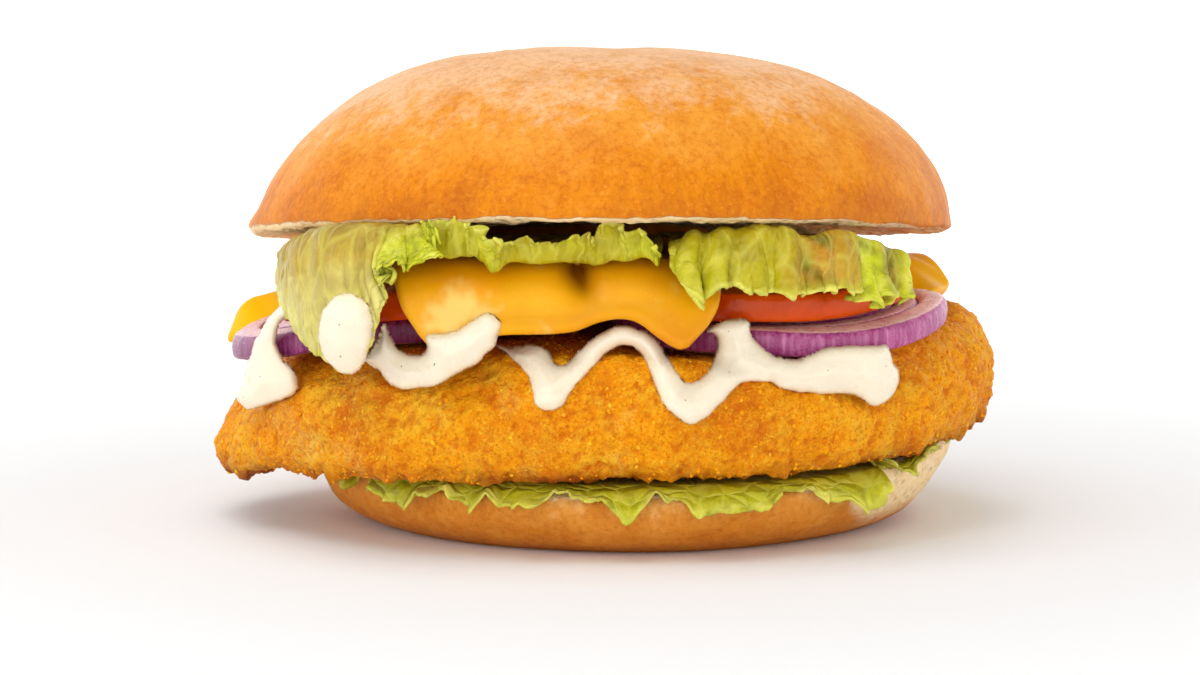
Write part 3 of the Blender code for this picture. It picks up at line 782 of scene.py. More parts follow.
@dataclass(frozen=True)
class Scatter:
    """Small bits strewn over a surface by a node tree, sizes in millimetres."""

    name: str
    per_cm2: float
    smallest: float
    largest: float
    flatness: float = 0.7
    uneven: float = 0.35
    mask: str = ""
    lies_flat: bool = False
    seed: int = 1

    def tree(self) -> bpy.types.GeometryNodeTree:
        """Node tree: points on the surface, a rough bit on each, then plain faces with a finish.

        Returns:
            The tree, with named inputs for its sizes.
        """
        tree = bpy.data.node_groups.new(self.name, "GeometryNodeTree")
        tree.is_modifier = True
        sockets = (
            ("Surface", "Geometry"), ("Per Area", "Float"), ("Smallest", "Float"), ("Largest", "Float"),
            ("Flatness", "Float"), ("Unevenness", "Float"), ("Seed", "Int"), ("Finish", "Material"),
        )
        for title, kind in sockets:
            tree.interface.new_socket(title, in_out="INPUT", socket_type="NodeSocket" + kind)
        tree.interface.new_socket("Bits", in_out="OUTPUT", socket_type="NodeSocketGeometry")

        def node(kind: str, values: dict | None = None, **settings: object) -> bpy.types.Node:
            """Adds a node with its own settings, and values or links for its inputs."""
            made = tree.nodes.new(kind)
            for key, value in settings.items():
                setattr(made, key, value)
            for key, value in (values or {}).items():
                if isinstance(value, bpy.types.NodeSocket):
                    tree.links.new(value, made.inputs[key])
                else:
                    made.inputs[key].default_value = value
            return made

        given = node("NodeGroupInput").outputs
        density = given["Per Area"]
        if self.mask:
            mark = node("GeometryNodeInputNamedAttribute", {"Name": self.mask}, data_type="FLOAT").outputs[0]
            density = node("ShaderNodeMath", {0: density, 1: mark}, operation="MULTIPLY").outputs[0]
        spots = node("GeometryNodeDistributePointsOnFaces", {"Mesh": given["Surface"], "Density": density, "Seed": given["Seed"]})
        grain = node("GeometryNodeMeshIcoSphere", {"Radius": 0.5 * MM, "Subdivisions": 1})
        size = node("FunctionNodeRandomValue", {2: given["Smallest"], 3: given["Largest"], "Seed": given["Seed"]}, data_type="FLOAT")
        stretch = node("FunctionNodeRandomValue", {2: 0.75, 3: 1.5, "Seed": 7}, data_type="FLOAT")
        width = node("ShaderNodeMath", {0: size.outputs[1], 1: stretch.outputs[1]}, operation="MULTIPLY")
        depth = node("ShaderNodeMath", {0: size.outputs[1], 1: given["Flatness"]}, operation="MULTIPLY")
        scale = node("ShaderNodeCombineXYZ", {0: size.outputs[1], 1: width.outputs[0], 2: depth.outputs[0]})
        turn = spots.outputs["Rotation"]
        if not self.lies_flat:
            turn = node("FunctionNodeRandomValue", {1: (math.tau, math.tau, math.tau), "Seed": 3}, data_type="FLOAT_VECTOR").outputs[0]
        links = {"Points": spots.outputs["Points"], "Instance": grain.outputs["Mesh"], "Rotation": turn, "Scale": scale.outputs[0]}
        bits = node("GeometryNodeInstanceOnPoints", links)
        shade = node("FunctionNodeRandomValue", {2: 0.0, 3: 1.0, "Seed": 5}, data_type="FLOAT")
        links = {"Geometry": bits.outputs[0], "Name": "shade", "Value": shade.outputs[1]}
        stored = node("GeometryNodeStoreNamedAttribute", links, data_type="FLOAT", domain="INSTANCE")
        plain = node("GeometryNodeRealizeInstances", {"Geometry": stored.outputs[0]})
        lumps = node("ShaderNodeTexNoise", {"Scale": 1400.0, "Detail": 1.0})
        middle = node("ShaderNodeVectorMath", {0: lumps.outputs["Color"], 1: (0.5, 0.5, 0.5)}, operation="SUBTRACT")
        push = node("ShaderNodeMath", {0: given["Unevenness"], 1: MM}, operation="MULTIPLY")
        offset = node("ShaderNodeVectorMath", {0: middle.outputs[0], "Scale": push.outputs[0]}, operation="SCALE")
        rough = node("GeometryNodeSetPosition", {"Geometry": plain.outputs[0], "Offset": offset.outputs[0]})
        finished = node("GeometryNodeSetMaterial", {"Geometry": rough.outputs[0], "Material": given["Finish"]})
        node("NodeGroupOutput", {"Bits": finished.outputs[0]})
        return tree

    def strewn(self, surface: bpy.types.Object, material: bpy.types.Material, slot: Slot) -> None:
        """Strews the bits over a surface as one plain mesh.

        Args:
            surface: the object that they lie on.
            material: their finish.
            slot: not used.
        """
        host = bpy.data.objects.new(self.name + "_host", surface.data)
        bpy.context.scene.collection.objects.link(host)
        strew = host.modifiers.new("strew", "NODES")
        strew.node_group = self.tree()
        values = {
            "Per Area": self.per_cm2 * 1e4, "Smallest": self.smallest, "Largest": self.largest, "Flatness": self.flatness,
            "Unevenness": self.uneven, "Seed": self.seed, "Finish": material,
        }
        for item in strew.node_group.interface.items_tree:
            if item.item_type == "SOCKET" and item.in_out == "INPUT" and item.name in values:
                strew[item.identifier] = values[item.name]
        mesh = bpy.data.meshes.new_from_object(host.evaluated_get(bpy.context.evaluated_depsgraph_get()))
        host.modifiers.clear()
        bpy.data.objects.remove(host)
        piece = bpy.data.objects.new(self.name, mesh)
        bpy.context.scene.collection.objects.link(piece)
        placed(piece, slot)


# ---- bun --------------------------------------------------------------------------------


@dataclass(frozen=True)
class Bun:
    """The two halves of the bun."""

    crown_radius: float = 57.8
    crown_height: float = 29.2
    crown_rim: float = 47.3
    lean: float = math.radians(4.7)
    lip: float = 1.2
    hollow: float = 2.2
    heel_profile: Pairs = (
        (0.02, 1.0), (0.45, 1.0), (0.78, 1.0), (0.93, 1.0), (0.975, 0.97), (1.0, 0.86), (0.998, 0.66), (0.972, 0.42),
        (0.915, 0.18), (0.84, 0.03), (0.78, 0.0), (0.45, 0.0), (0.02, 0.0),
    )

    def crown_points(self) -> tuple[Array, dict[str, Array]]:
        """Rings of the crown from its top over the rim to the middle of its cut face.

        Returns:
            The rings, and their marks.
        """
        angle = np.linspace(0, math.tau, 480, endpoint=False)
        right = 0.5 + 0.5 * np.cos(angle)
        outer, inner = 3.2 - 0.6 * right, 1.25 + 0.65 * right
        dome = np.sin(np.linspace(0.03, math.pi / 2, 84))
        turn = np.linspace(0.2, math.pi / 2, 7)
        lip_share, lip_level = 1 - 0.03 * (1 - np.cos(turn)), -np.sin(turn)
        face = np.linspace(0.965, 0.02, 34)
        share = np.concatenate([dome, lip_share, face])[:, None] + 0 * angle
        level = np.concatenate([0 * dome, lip_level, 0 * face - 1])[:, None] + 0 * angle
        on_dome = (np.arange(len(share)) < len(dome))[:, None]
        height = self.crown_height * np.maximum(0, 1 - share**outer) ** (1 / inner)
        ends = 0.5 + 0.7 * np.maximum(0, -np.cos(angle)) ** 3
        under = self.lip * ends * level + self.hollow * smooth_step((0.93 - share) / 0.25) * ~on_dome
        rise = np.where(on_dome, height, under)
        x = self.crown_radius * share * np.cos(angle)
        y = self.crown_radius * share * np.sin(angle)
        plain = np.stack([x, y, rise], -1)
        near_rim = np.exp(-((np.where(on_dome, height, 0) / 2.2) ** 2)) * (share > 0.9)
        ragged = 0.34 * fractal(plain * (1, 1, 0.2), 7, 3, 3) + 0.16 * fractal(plain, 1.3, 2, 4)
        relief = np.where(on_dome, 0.42 * fractal(plain, 24, 3, 1) + 0.10 * fractal(plain, 6, 3, 2), 0)
        creases = fractal(plain * (1, 1, 0.22), 3.4, 3, 6)
        relief -= on_dome * 0.16 * np.maximum(0, creases) * smooth_step((15 - height) / 9) * smooth_step(height / 3)
        crumb = 0.42 * fractal(plain, 2.6, 4, 5) * smooth_step((0.985 - share) / 0.02) * ~on_dome
        outward = normals_of(plain, wrap=True)
        outward *= np.sign(np.einsum("ijk,ijk->ij", outward, plain * (1, 1, 1) + (0, 0, -8 * 1.0)))[..., None] + 1e-9
        plain = plain + outward * (relief * (1 - near_rim))[..., None]
        plain[..., 2] += near_rim * ragged + crumb
        plain[..., :2] *= (1 + 0.25 * near_rim * ragged / self.crown_radius)[..., None]
        cos, sin = math.cos(self.lean), math.sin(self.lean)
        points = np.stack(
            [plain[..., 0] - 0.5, plain[..., 1] * cos + plain[..., 2] * sin, self.crown_rim - plain[..., 1] * sin + plain[..., 2] * cos], -1
        )
        baked = 0.02 + 0.85 * smooth_step((np.cos(angle) - 0.55) / 0.4)
        cut = smooth_step((-level - baked + 0.25 * fractal(plain, 1.1, 2, 8)) / 0.2) * ~on_dome
        # The height mark also leans paler to the left and darker to the right on the upper dome: painted light from the
        # left, painted shade on the right.
        upper = smooth_step((height / self.crown_height - 0.1) / 0.35) * on_dome
        return points, {"rise": rise / self.crown_height - 0.12 * share * np.cos(angle) * upper, "cut": cut}

    def build_crown(self, finish: CrustFinish) -> Shape:
        """Makes the upper half.

        Args:
            finish: its crust.

        Returns:
            Its shape.
        """
        points, marks = self.crown_points()
        shape = closed_rings(points + shift_of("bun_crown"), marks)
        dressed("crown_of_bun", shape, finish.material(), Slot.CRUST, "bun_crown")
        return shape

    def build_heel(self, finish: CrustFinish) -> Shape:
        """Makes the lower half: a flat foot and a matt side that turns up to a thin rim.

        Args:
            finish: its crust.

        Returns:
            Its shape.
        """
        angle = np.linspace(0, math.tau, 440, endpoint=False)
        knots = np.array([self.heel_profile], float)
        profile = sheet_through(np.concatenate([knots, knots]), np.zeros(1), np.linspace(0, 1, 120))[0]
        share, level = profile[:, 0][:, None] + 0 * angle, profile[:, 1][:, None] + 0 * angle
        right = smooth_step((np.cos(angle) - 0.55) / 0.45)
        narrow = smooth_step(np.cos(angle) / 0.8)
        radius = STACK.heel_radius * share * (1 - 0.08 * narrow * np.maximum(0, 1 - level) ** 0.7)
        x, y = radius * np.cos(angle), radius * np.sin(angle)
        lift = 3.4 * right * smooth_step((share - 0.80) / 0.2) * level
        z = STACK.heel_height * level + lift + STACK.forward * y * level
        plain = np.stack([x, y, z], -1)
        side = smooth_step((share - 0.8) / 0.1) * smooth_step(level / 0.2)
        swell = 0.5 * fractal(plain, 15, 3, 1) + 0.14 * fractal(plain, 3, 3, 2)
        crease = np.maximum(0, fractal(plain * (1, 1, 0.35), 5.5, 3, 9)) * 0.35
        radial = 1 + side * (swell - crease) / STACK.heel_radius
        plain[..., :2] *= radial[..., None]
        top = smooth_step((level - 0.9) / 0.08)
        plain[..., 2] += top * (0.30 * fractal(plain, 2.6, 4, 5) + 0.35 * fractal(plain, 9, 2, 6))
        ragged = level + 0.05 * fractal(plain, 2.0, 3, 7)
        torn = smooth_step((np.cos(angle + 0.15) - 0.65) / 0.2)
        cut = smooth_step((ragged - 0.90 + 0.82 * torn) / (0.05 + 0.28 * torn))
        points = plain + (STACK.heel_x, 0, 0) + shift_of("bun_heel")
        shape = closed_rings(points, {"rise": level * 0.6, "cut": cut})
        dressed("heel_of_bun", shape, finish.material(), Slot.CRUST, "bun_heel")
        return shape


# ---- fillet -----------------------------------------------------------------------------


@dataclass(frozen=True)
class Fillet:
    """Breaded chicken fillet, wider than the bun, blunt and sagging at its left end."""

    radii: tuple[float, ...] = (63.7, 61, 56, 54, 54.5, 58, 63.5, 61, 58.5, 57, 59.5, 62.5)
    belt: float = 9.0
    overhang_x: float = -45.0
    overhang_slope: float = 0.5
    front_overhang: float = 51.0
    front_slope: float = 0.25
    crumbs: Scatter = Scatter("crumbs_on_fillet", 32.0, 0.25, 0.7, 0.6, 0.5, lies_flat=True, seed=2)

    def underside(self, x: Array, y: Array) -> Array:
        """The fillet follows the heel and sags where it overhangs it."""
        past = np.maximum(0, self.overhang_x - x)
        left = self.overhang_slope * past * smooth_step(past / 6)
        past = np.maximum(0, np.hypot(x - STACK.heel_x, y) - self.front_overhang)
        front = self.front_slope * past * smooth_step(past / 4) * smooth_step(-y / 30)
        return STACK.fillet_underside + STACK.forward * y + STACK.rising(x) - np.maximum(left, front)

    def points(self) -> tuple[Array, dict[str, Array]]:
        """Rings of the fillet from the middle of its top round its belt to the middle below.

        Returns:
            The rings, and their marks.
        """
        angle = np.linspace(0, math.tau, 900, endpoint=False)
        belt = np.linspace(math.pi / 2, -math.pi / 2, 68)
        share = np.concatenate([np.linspace(0.03, 0.98, 20), np.ones(68), np.linspace(0.98, 0.03, 14)])[:, None]
        level = np.concatenate([np.full(20, belt[0]), belt, np.full(14, belt[-1])])[:, None] + 0 * angle
        on_belt = share >= 1
        bulge = np.maximum(0, np.cos(level)) ** np.where(level < 0, 0.5, 1.0) * on_belt
        radius = around(self.radii, angle)
        reach = (radius - self.belt) * share + self.belt * bulge
        x, y = reach * np.cos(angle), reach * np.sin(angle)
        half = through(STACK.fillet_thickness, x) / 2
        lumps = 1.1 * fractal(np.stack([x, y, level * 8], -1), 17, 1)
        swell = 1 + lumps / radius * on_belt
        z = self.underside(x, y) + half + half * np.sin(level) + 0.2 * lumps
        z = z - STACK.settled(x, y) * smooth_step(np.sin(level))
        base = np.stack([x * swell, y * swell, z], -1)
        outward = normals_of(base, wrap=True)
        outward *= np.sign(outward[len(outward) // 3, 0] @ (base[len(outward) // 3, 0] - (0, 0, 20)))
        side = 0.35 + 0.65 * on_belt * np.cos(level)
        broad = 0.85 * fractal(base, 9, 2, 2) + 0.5 * fractal(base, 4.2, 2, 3)
        cells = np.array([noise.voronoi(place)[0][0] for place in (base.reshape(-1, 3) / 1.6).tolist()]).reshape(x.shape)
        small = 0.22 * (0.55 - cells) + 0.46 * fractal(base, 1.5, 3, 4)
        points = base + outward * (side * broad + (0.3 + 0.7 * side) * small)[..., None]
        crumb = np.clip(0.45 + 1.1 * small, 0, 1)
        low = smooth_step((-np.sin(level) - 0.45) / 0.5) * on_belt
        points[..., 2] -= 1.5 * np.maximum(0, fractal(base * (1, 1, 0.2), 3.2, 3, 9)) * hump(np.sin(level), -0.85, 0.25) * on_belt
        tip = smooth_step((-x - 55) / 8)
        # Painted shade on the lower belt, under the fillet, and real browning at the blunt left tip.
        char_and_shade = np.clip(low * (0.8 + 0.8 * fractal(base, 7, 3, 7)) + 0.6 * tip * smooth_step(0.2 - np.sin(level)), 0, 1)
        return points, {"crumb": crumb, "char_and_shade": char_and_shade}

    def build(self, finish: BreadingFinish) -> Shape:
        """Makes the fillet.

        Args:
            finish: its coat.

        Returns:
            Its shape.
        """
        points, marks = self.points()
        shape = closed_rings(points + shift_of("chicken_fillet"), marks)
        piece = dressed("breaded_fillet", shape, finish.material(), Slot.BREADING, "chicken_fillet")
        shades = (finish.brown, finish.gold, finish.gold, finish.pale)
        self.crumbs.strewn(piece, CrumbFinish("coat_crumbs", shades).material(), Slot.BREADING)
        return shape


# ---- onion and tomato -------------------------------------------------------------------


@dataclass(frozen=True)
class Slices:
    """Onion slices on the fillet with tomato slices on top of them."""

    onion_radius: float = 27.5
    tomato_radius: float = 25.0
    thickness: float = 4.3
    ring_edges: tuple[float, ...] = (27.5, 22.9, 18.8, 15.0, 11.2, 7.6, 4.2)
    onions: tuple[tuple[str, Place], ...] = (("onion_left", (-32.5, -11.0, 1.0)), ("onion_right", (28.0, -21.8, 0.96)))
    tomatoes: tuple[tuple[str, Place], ...] = (("tomato_left", (-25.6, -20.5, 1.0)), ("tomato_right", (24.2, -21.8, 0.96)))

    def laid(self, points: Array, place: Place, lift: float) -> Array:
        """Lays a slice drawn about its own centre on the stack, where it droops over the edge."""
        x, y = points[..., 0] * place[2] + place[0], points[..., 1] * place[2] + place[1]
        return np.stack([x, y, STACK.on_fillet(x, y) + lift + points[..., 2] - STACK.droop(x, y)], -1)

    def onion(self, place: Place, seed: int) -> Shape:
        """One onion slice: a nest of separate rings, thickest outside.

        Args:
            place: where its centre is, across and to the back, and its size.
            seed: varies the rings.

        Returns:
            Its shape.
        """
        turn = np.linspace(0, math.tau, 36, endpoint=False)[:, None]
        angle = np.linspace(0, math.tau, 300, endpoint=False)
        whole: Shape | None = None
        for number, outer in enumerate(self.ring_edges):
            inner = self.ring_edges[number + 1] + 0.22 if number + 1 < len(self.ring_edges) else 1.2
            across = np.sign(np.cos(turn)) * np.abs(np.cos(turn)) ** 0.42
            upward = np.sign(np.sin(turn)) * np.abs(np.sin(turn)) ** 0.42
            barrel = 0.32 * (1 - upward**2) * (across > 0)
            radius = (outer + inner) / 2 + (outer - inner) / 2 * across + barrel - 0.3
            lift = 0.22 * math.sin(2.1 * number + seed) if number else 0.0
            z = self.thickness / 2 + (self.thickness / 2 - 0.12) * upward + lift + 0 * angle
            wobble = 1 + 0.006 * np.sin(2 * angle + seed + number) + 0.002 * np.sin(5 * angle + number)
            ring = np.stack([radius * wobble * np.cos(angle), radius * wobble * np.sin(angle), z], -1)
            ring[..., 2] += 0.10 * fractal(ring, 2.2, 2, seed + number) * upward
            skin = smooth_step((across - 0.55) / 0.4) * smooth_step((1.02 - np.abs(upward)) / 0.12) + 0 * angle
            body = ring_body(self.laid(ring, place, 0), {"skin": skin})
            whole = body if whole is None else whole.joined(body)
        return whole

    def tomato(self, place: Place, seed: int) -> Shape:
        """One tomato slice with a rounded skin edge.

        Args:
            place: where its centre is, across and to the back, and its size.
            seed: varies its outline.

        Returns:
            Its shape.
        """
        angle = np.linspace(0, math.tau, 320, endpoint=False)
        turn = np.linspace(math.pi / 2, -math.pi / 2, 26)
        flat = np.linspace(0.04, 0.97, 16)
        top, half = self.tomato_radius, self.thickness / 2
        edge_r = top - 0.75 + 0.75 * np.cos(turn) ** 0.75
        edge_z = half + half * np.sign(np.sin(turn)) * np.abs(np.sin(turn)) ** 0.8
        rho = np.concatenate([flat * (top - 0.75), edge_r, flat[::-1] * (top - 0.75)])[:, None]
        z = np.concatenate([flat * 0 + 2 * half, edge_z, flat * 0])[:, None] + 0 * angle
        wobble = 1 + 0.008 * np.sin(3 * angle + seed) + 0.004 * np.sin(7 * angle + 2 * seed)
        points = np.stack([rho * wobble * np.cos(angle), rho * wobble * np.sin(angle), z], -1)
        face = smooth_step((0.97 - rho / top) / 0.05)
        points[..., 2] += face * 0.28 * fractal(points, 4.5, 3, seed) * np.where(z > half, 1, -1)
        skin = smooth_step((rho / top - 0.962) / 0.02) + 0 * angle
        laid = self.laid(points, place, self.thickness + 2 * STACK.gap)
        return closed_rings(laid, {"skin": skin})

    def build(self, onion: Sequence[OnionFinish], tomato: TomatoFinish) -> list[Shape]:
        """Makes the four slices.

        Args:
            onion: finishes of the onions, left and right.
            tomato: finish of the tomato.

        Returns:
            Their shapes.
        """
        shapes: list[Shape] = []
        red = tomato.material()
        for seed, (node, place) in enumerate(self.onions, 1):
            shape = self.onion(place, seed)
            shape.points = shape.points + shift_of(node)
            dressed(node + "_rings", shape, onion[seed - 1].material(), Slot.ONION, node)
            shapes.append(shape)
        for seed, (node, place) in enumerate(self.tomatoes, 1):
            shape = self.tomato(place, seed)
            shape.points = shape.points + shift_of(node)
            dressed(node + "_cut", shape, red, Slot.TOMATO, node)
            shapes.append(shape)
        return shapes


# ---- cheese -----------------------------------------------------------------------------


def folded(run: Array, radius: float, bend: float) -> tuple[Array, Array]:
    """How far a sheet has gone forward and down when it bends over an edge and hangs."""
    turn = np.minimum(bend, np.maximum(0, run) / radius)
    hang = np.maximum(0, run - bend * radius)
    return radius * np.sin(turn) + hang * math.cos(bend), radius * (1 - np.cos(turn)) + hang * math.sin(bend)


@dataclass(frozen=True)
class Cheese:
    """One slice laid cornerwise over the salad, and one folded down over its front."""

    thickness: float = 2.0
    side: float = 85.5
    centre: tuple[float, float] = (-1.9, 8.0)
    fold_front: float = -43.5
    fold_back: float = 49.5
    fold_radius: float = 4.5
    flap_back: float = 26.0
    flap_fold: float = -45.0
    flap_radius: float = 7.2
    flap_left: Pairs = ((0, -31.6), (0.35, -31.2), (0.62, -30.0), (0.85, -27.6), (1, -25.6))
    flap_right: Pairs = ((0, 17.6), (0.35, 17.6), (0.6, 17.2), (0.8, 15.6), (1, 12.8))
    flap_hem: Pairs = (
        (0, 31.8), (0.10, 32.4), (0.25, 34.2), (0.48, 34.5), (0.56, 34.9), (0.65, 36.2), (0.73, 36.7), (0.80, 36.1),
        (0.89, 33.6), (0.96, 32.2), (1, 32.6),
    )

    def build_slice(self, material: bpy.types.Material) -> Shape:
        """The square slice, with soft corners that hang out at the sides and the back."""
        places = edge_spaced(110, self.side, self.thickness / 2)
        a, b = np.meshgrid(2 * places - 1, 2 * places - 1, indexing="ij")
        across = a * np.sqrt(1 - 0.05 * b**10) * self.side / 2
        along = b * np.sqrt(1 - 0.05 * a**10) * self.side / 2
        turn = math.radians(45)
        x = self.centre[0] + across * math.cos(turn) - along * math.sin(turn)
        y = self.centre[1] + across * math.sin(turn) + along * math.cos(turn)
        edge = self.side / math.sqrt(2) - np.abs(x - self.centre[0]) - np.abs(y - self.centre[1])
        push = 3.6 * smooth_step((x - 20) / 14) * smooth_step((13 - y) / 12) * (1 - smooth_step(edge / 16))
        x = x + 0.8 * push * smooth_step((58 - x) / 8) + 1.0 * smooth_step((x - 46) / 10) - 2.2 * smooth_step((-46 - x) / 10)
        y = y - push
        inside = np.clip(y, self.fold_front, self.fold_back)
        forward, drop = folded(np.abs(y - inside), self.fold_radius, math.radians(84))
        at_left = 3.7 * smooth_step((-43 - x) / 9) + 0.20 * np.maximum(0, -58.5 - x) ** 2
        at_right = (3.2 * smooth_step((x - 39) / 9) + 0.03 * np.maximum(0, x - 51) ** 2) * smooth_step((y + 12) / 10)
        z = STACK.salad_top(x, inside) - drop - at_left - at_right + self.thickness / 2
        z -= 6.2 * smooth_step((x - 38) / 10) * (1 - smooth_step(edge / 14)) * smooth_step((13 - inside) / 9)
        z -= 0.46 * np.maximum(0, -45 - x) * np.clip((9 - inside) / 7, -0.12, 1)
        points = np.stack([x, inside + np.copysign(forward, y), z], -1)
        points[..., 2] += 0.35 * fractal(points, 16, 2, 2)
        points = points + shift_of("cheese_slice")
        shape = slab(points, rounded_thickness(points, self.thickness, self.thickness / 2), {})
        dressed("cheese_on_salad", shape, material, Slot.CHEESE, "cheese_slice")
        return shape

    def build_flap(self, material: bpy.types.Material) -> Shape:
        """The front slice: it bends down with a pinched fold, a notched hem and a pointed corner."""
        flat = self.flap_back - self.flap_fold
        rows, columns = edge_spaced(150, flat + 16, self.thickness / 2), edge_spaced(190, 46, self.thickness / 2)
        v, u = np.meshgrid(rows, columns, indexing="ij")
        run = v * (flat + 15.5)
        past = np.maximum(0, run - flat)
        down = past / 15.5
        x = (1 - u) * through(self.flap_left, down) + u * through(self.flap_right, down)
        forward, drop = folded(past, self.flap_radius, math.radians(80))
        y = self.flap_back - np.minimum(run, flat)
        top = STACK.salad_top(x, y) + 1.9 + 1.8 * STACK.gap + self.thickness / 2
        full = folded(np.array(15.5), self.flap_radius, math.radians(80))[1]
        hem = through(self.flap_hem, u)
        z = top - drop / full * (top - hem)
        pinch = hump(x, -3.8 + 1.6 * smooth_step((44 - z) / 8), 2.4)
        ridge = hump(x, -0.4 + 0.8 * smooth_step((44 - z) / 8), 1.9)
        fade = smooth_step((z - 37.2) / 6) * smooth_step(past / 5)
        curl = 1.1 * smooth_step((down - 0.82) / 0.2) * (0.4 + 0.6 * hump(x, -10, 9))
        forward = forward - 3.8 * pinch * fade + 0.7 * ridge * fade + curl
        forward += 0.8 * hump(x, 12, 6) * smooth_step((down - 0.5) / 0.5)
        points = np.stack([x, y - forward, z], -1)
        points += normals_of(points) * (0.25 * fractal(points, 14, 2, 5))[..., None]
        points = points + shift_of("cheese_flap")
        cloud = fractal(points, 4.5, 3, 7)
        veil = 0.62 * smooth_step((hump(x, -21.5, 5.2) * hump(z, 37.6, 3.6) + 0.5 * cloud - 0.25) / 0.5) * smooth_step(past / 4)
        # Painted shade at the hem, in the pinched crease and along the top band under the crown.
        painted_hem_shade = 0.16 * smooth_step((down - 0.66) / 0.2) * smooth_step((x + 17) / 5)
        marks = {"veil": veil, "painted_shade": np.minimum(1, 1.5 * pinch * fade) + 0.22 * smooth_step((z - 39) / 4) * (1 - pinch) + painted_hem_shade}
        shape = slab(points, rounded_thickness(points, self.thickness, self.thickness / 2), marks)
        dressed("cheese_over_front", shape, material, Slot.CHEESE, "cheese_flap")
        return shape

    def build(self, far: CheeseFinish, near: CheeseFinish) -> list[Shape]:
        """Makes both slices.

        Args:
            far: finish of the slice on the salad.
            near: finish of the slice in front.

        Returns:
            Their shapes.
        """
        return [self.build_slice(far.material()), self.build_flap(near.material())]


# ---- lettuce ----------------------------------------------------------------------------


@dataclass(frozen=True)
class Frill:
    """Waves of a leaf's margin: height and length of the wide ones, the curls and the crimps."""

    wide: tuple[float, float] = (1.0, 7.0)
    curls: tuple[float, float] = (0.7, 2.9)
    crimps: tuple[float, float] = (0.28, 1.2)
    scallop: float = 0.7
    seed: float = 1.0
    strength: Pairs = ((0, 1), (1, 1))

    def applied(self, points: Array) -> Array:
        """Waves a sheet whose last row is the margin.

        Args:
            points: rows from the inside of the leaf to its margin.

        Returns:
            The waved sheet.
        """
        normal = normals_of(points)
        out = np.gradient(points, axis=0)
        out /= np.maximum(np.linalg.norm(out, axis=-1, keepdims=True), 1e-9)
        along = np.gradient(points, axis=1)
        along /= np.maximum(np.linalg.norm(along, axis=-1, keepdims=True), 1e-9)
        run = run_along(points, 1)
        s = run[-1][None, :] + 0 * run
        v = np.linspace(0, 1, len(points))[:, None] + 0 * run
        strength = through(self.strength, np.linspace(0, 1, points.shape[1]))
        moved = points.copy()
        for number, ((height, length), power) in enumerate(zip((self.wide, self.curls, self.crimps), (1.6, 4.0, 9.0))):
            seed = self.seed + 7.3 * number
            phase = math.tau * s / length + 2.6 * wander(s, 2.2 * length, seed) + 0.7 * v
            size = strength * height * v**power * (0.75 + 0.75 * wander(s, 3.1 * length, seed + 3))
            moved += normal * (size * np.sin(phase))[..., None] + along * (0.75 * size * np.cos(phase + 0.6))[..., None]
        scallop = strength * self.scallop * v**3 * (wander(s, 2.6, self.seed + 5) + 0.6 * wander(s, 1.0, self.seed + 6))
        return moved + out * scallop[..., None]


@dataclass(frozen=True)
class Leaf:
    """One leaf drawn as a net of points: rows run along it, from its inside to its margin."""

    node: str
    net: tuple[tuple[tuple[float, float, float], ...], ...]
    frill: Frill
    rows: int = 80
    columns: int = 300
    thickness: float = 0.5
    stain: Pairs = ((0, 0), (1, 0))

    def build(self, name: str, material: bpy.types.Material) -> Shape:
        """Makes the leaf.

        Args:
            name: the piece's name.
            material: its finish.

        Returns:
            Its shape.
        """
        drawn = sheet_through(self.net, np.linspace(0, 1, self.rows), np.linspace(0, 1, self.columns))
        blister = 0.30 * fractal(drawn, 5.5, 3, self.frill.seed + 11) + 0.17 * fractal(drawn, 1.9, 3, self.frill.seed + 12)
        drawn = drawn + normals_of(drawn) * blister[..., None]
        points = self.frill.applied(drawn) + shift_of(self.node)
        v = np.linspace(0, 1, self.rows)[:, None] + np.zeros(self.columns)
        bright = np.clip((through(self.frill.strength, np.linspace(0, 1, self.columns)) - 1.1) / 0.5, 0, 1) * smooth_step(v / 0.6)
        stain = through(self.stain, np.linspace(0, 1, self.columns)) * smooth_step((0.97 - v) / 0.15)
        marks = {"edge": v, "frill": bright, "stain": stain, "along": run_along(drawn, 1) * MM, "out": run_along(drawn, 0) * MM}
        shape = slab(points, rounded_thickness(points, self.thickness, 0.4), marks)
        dressed(name, shape, material, Slot.LETTUCE, self.node)
        return shape


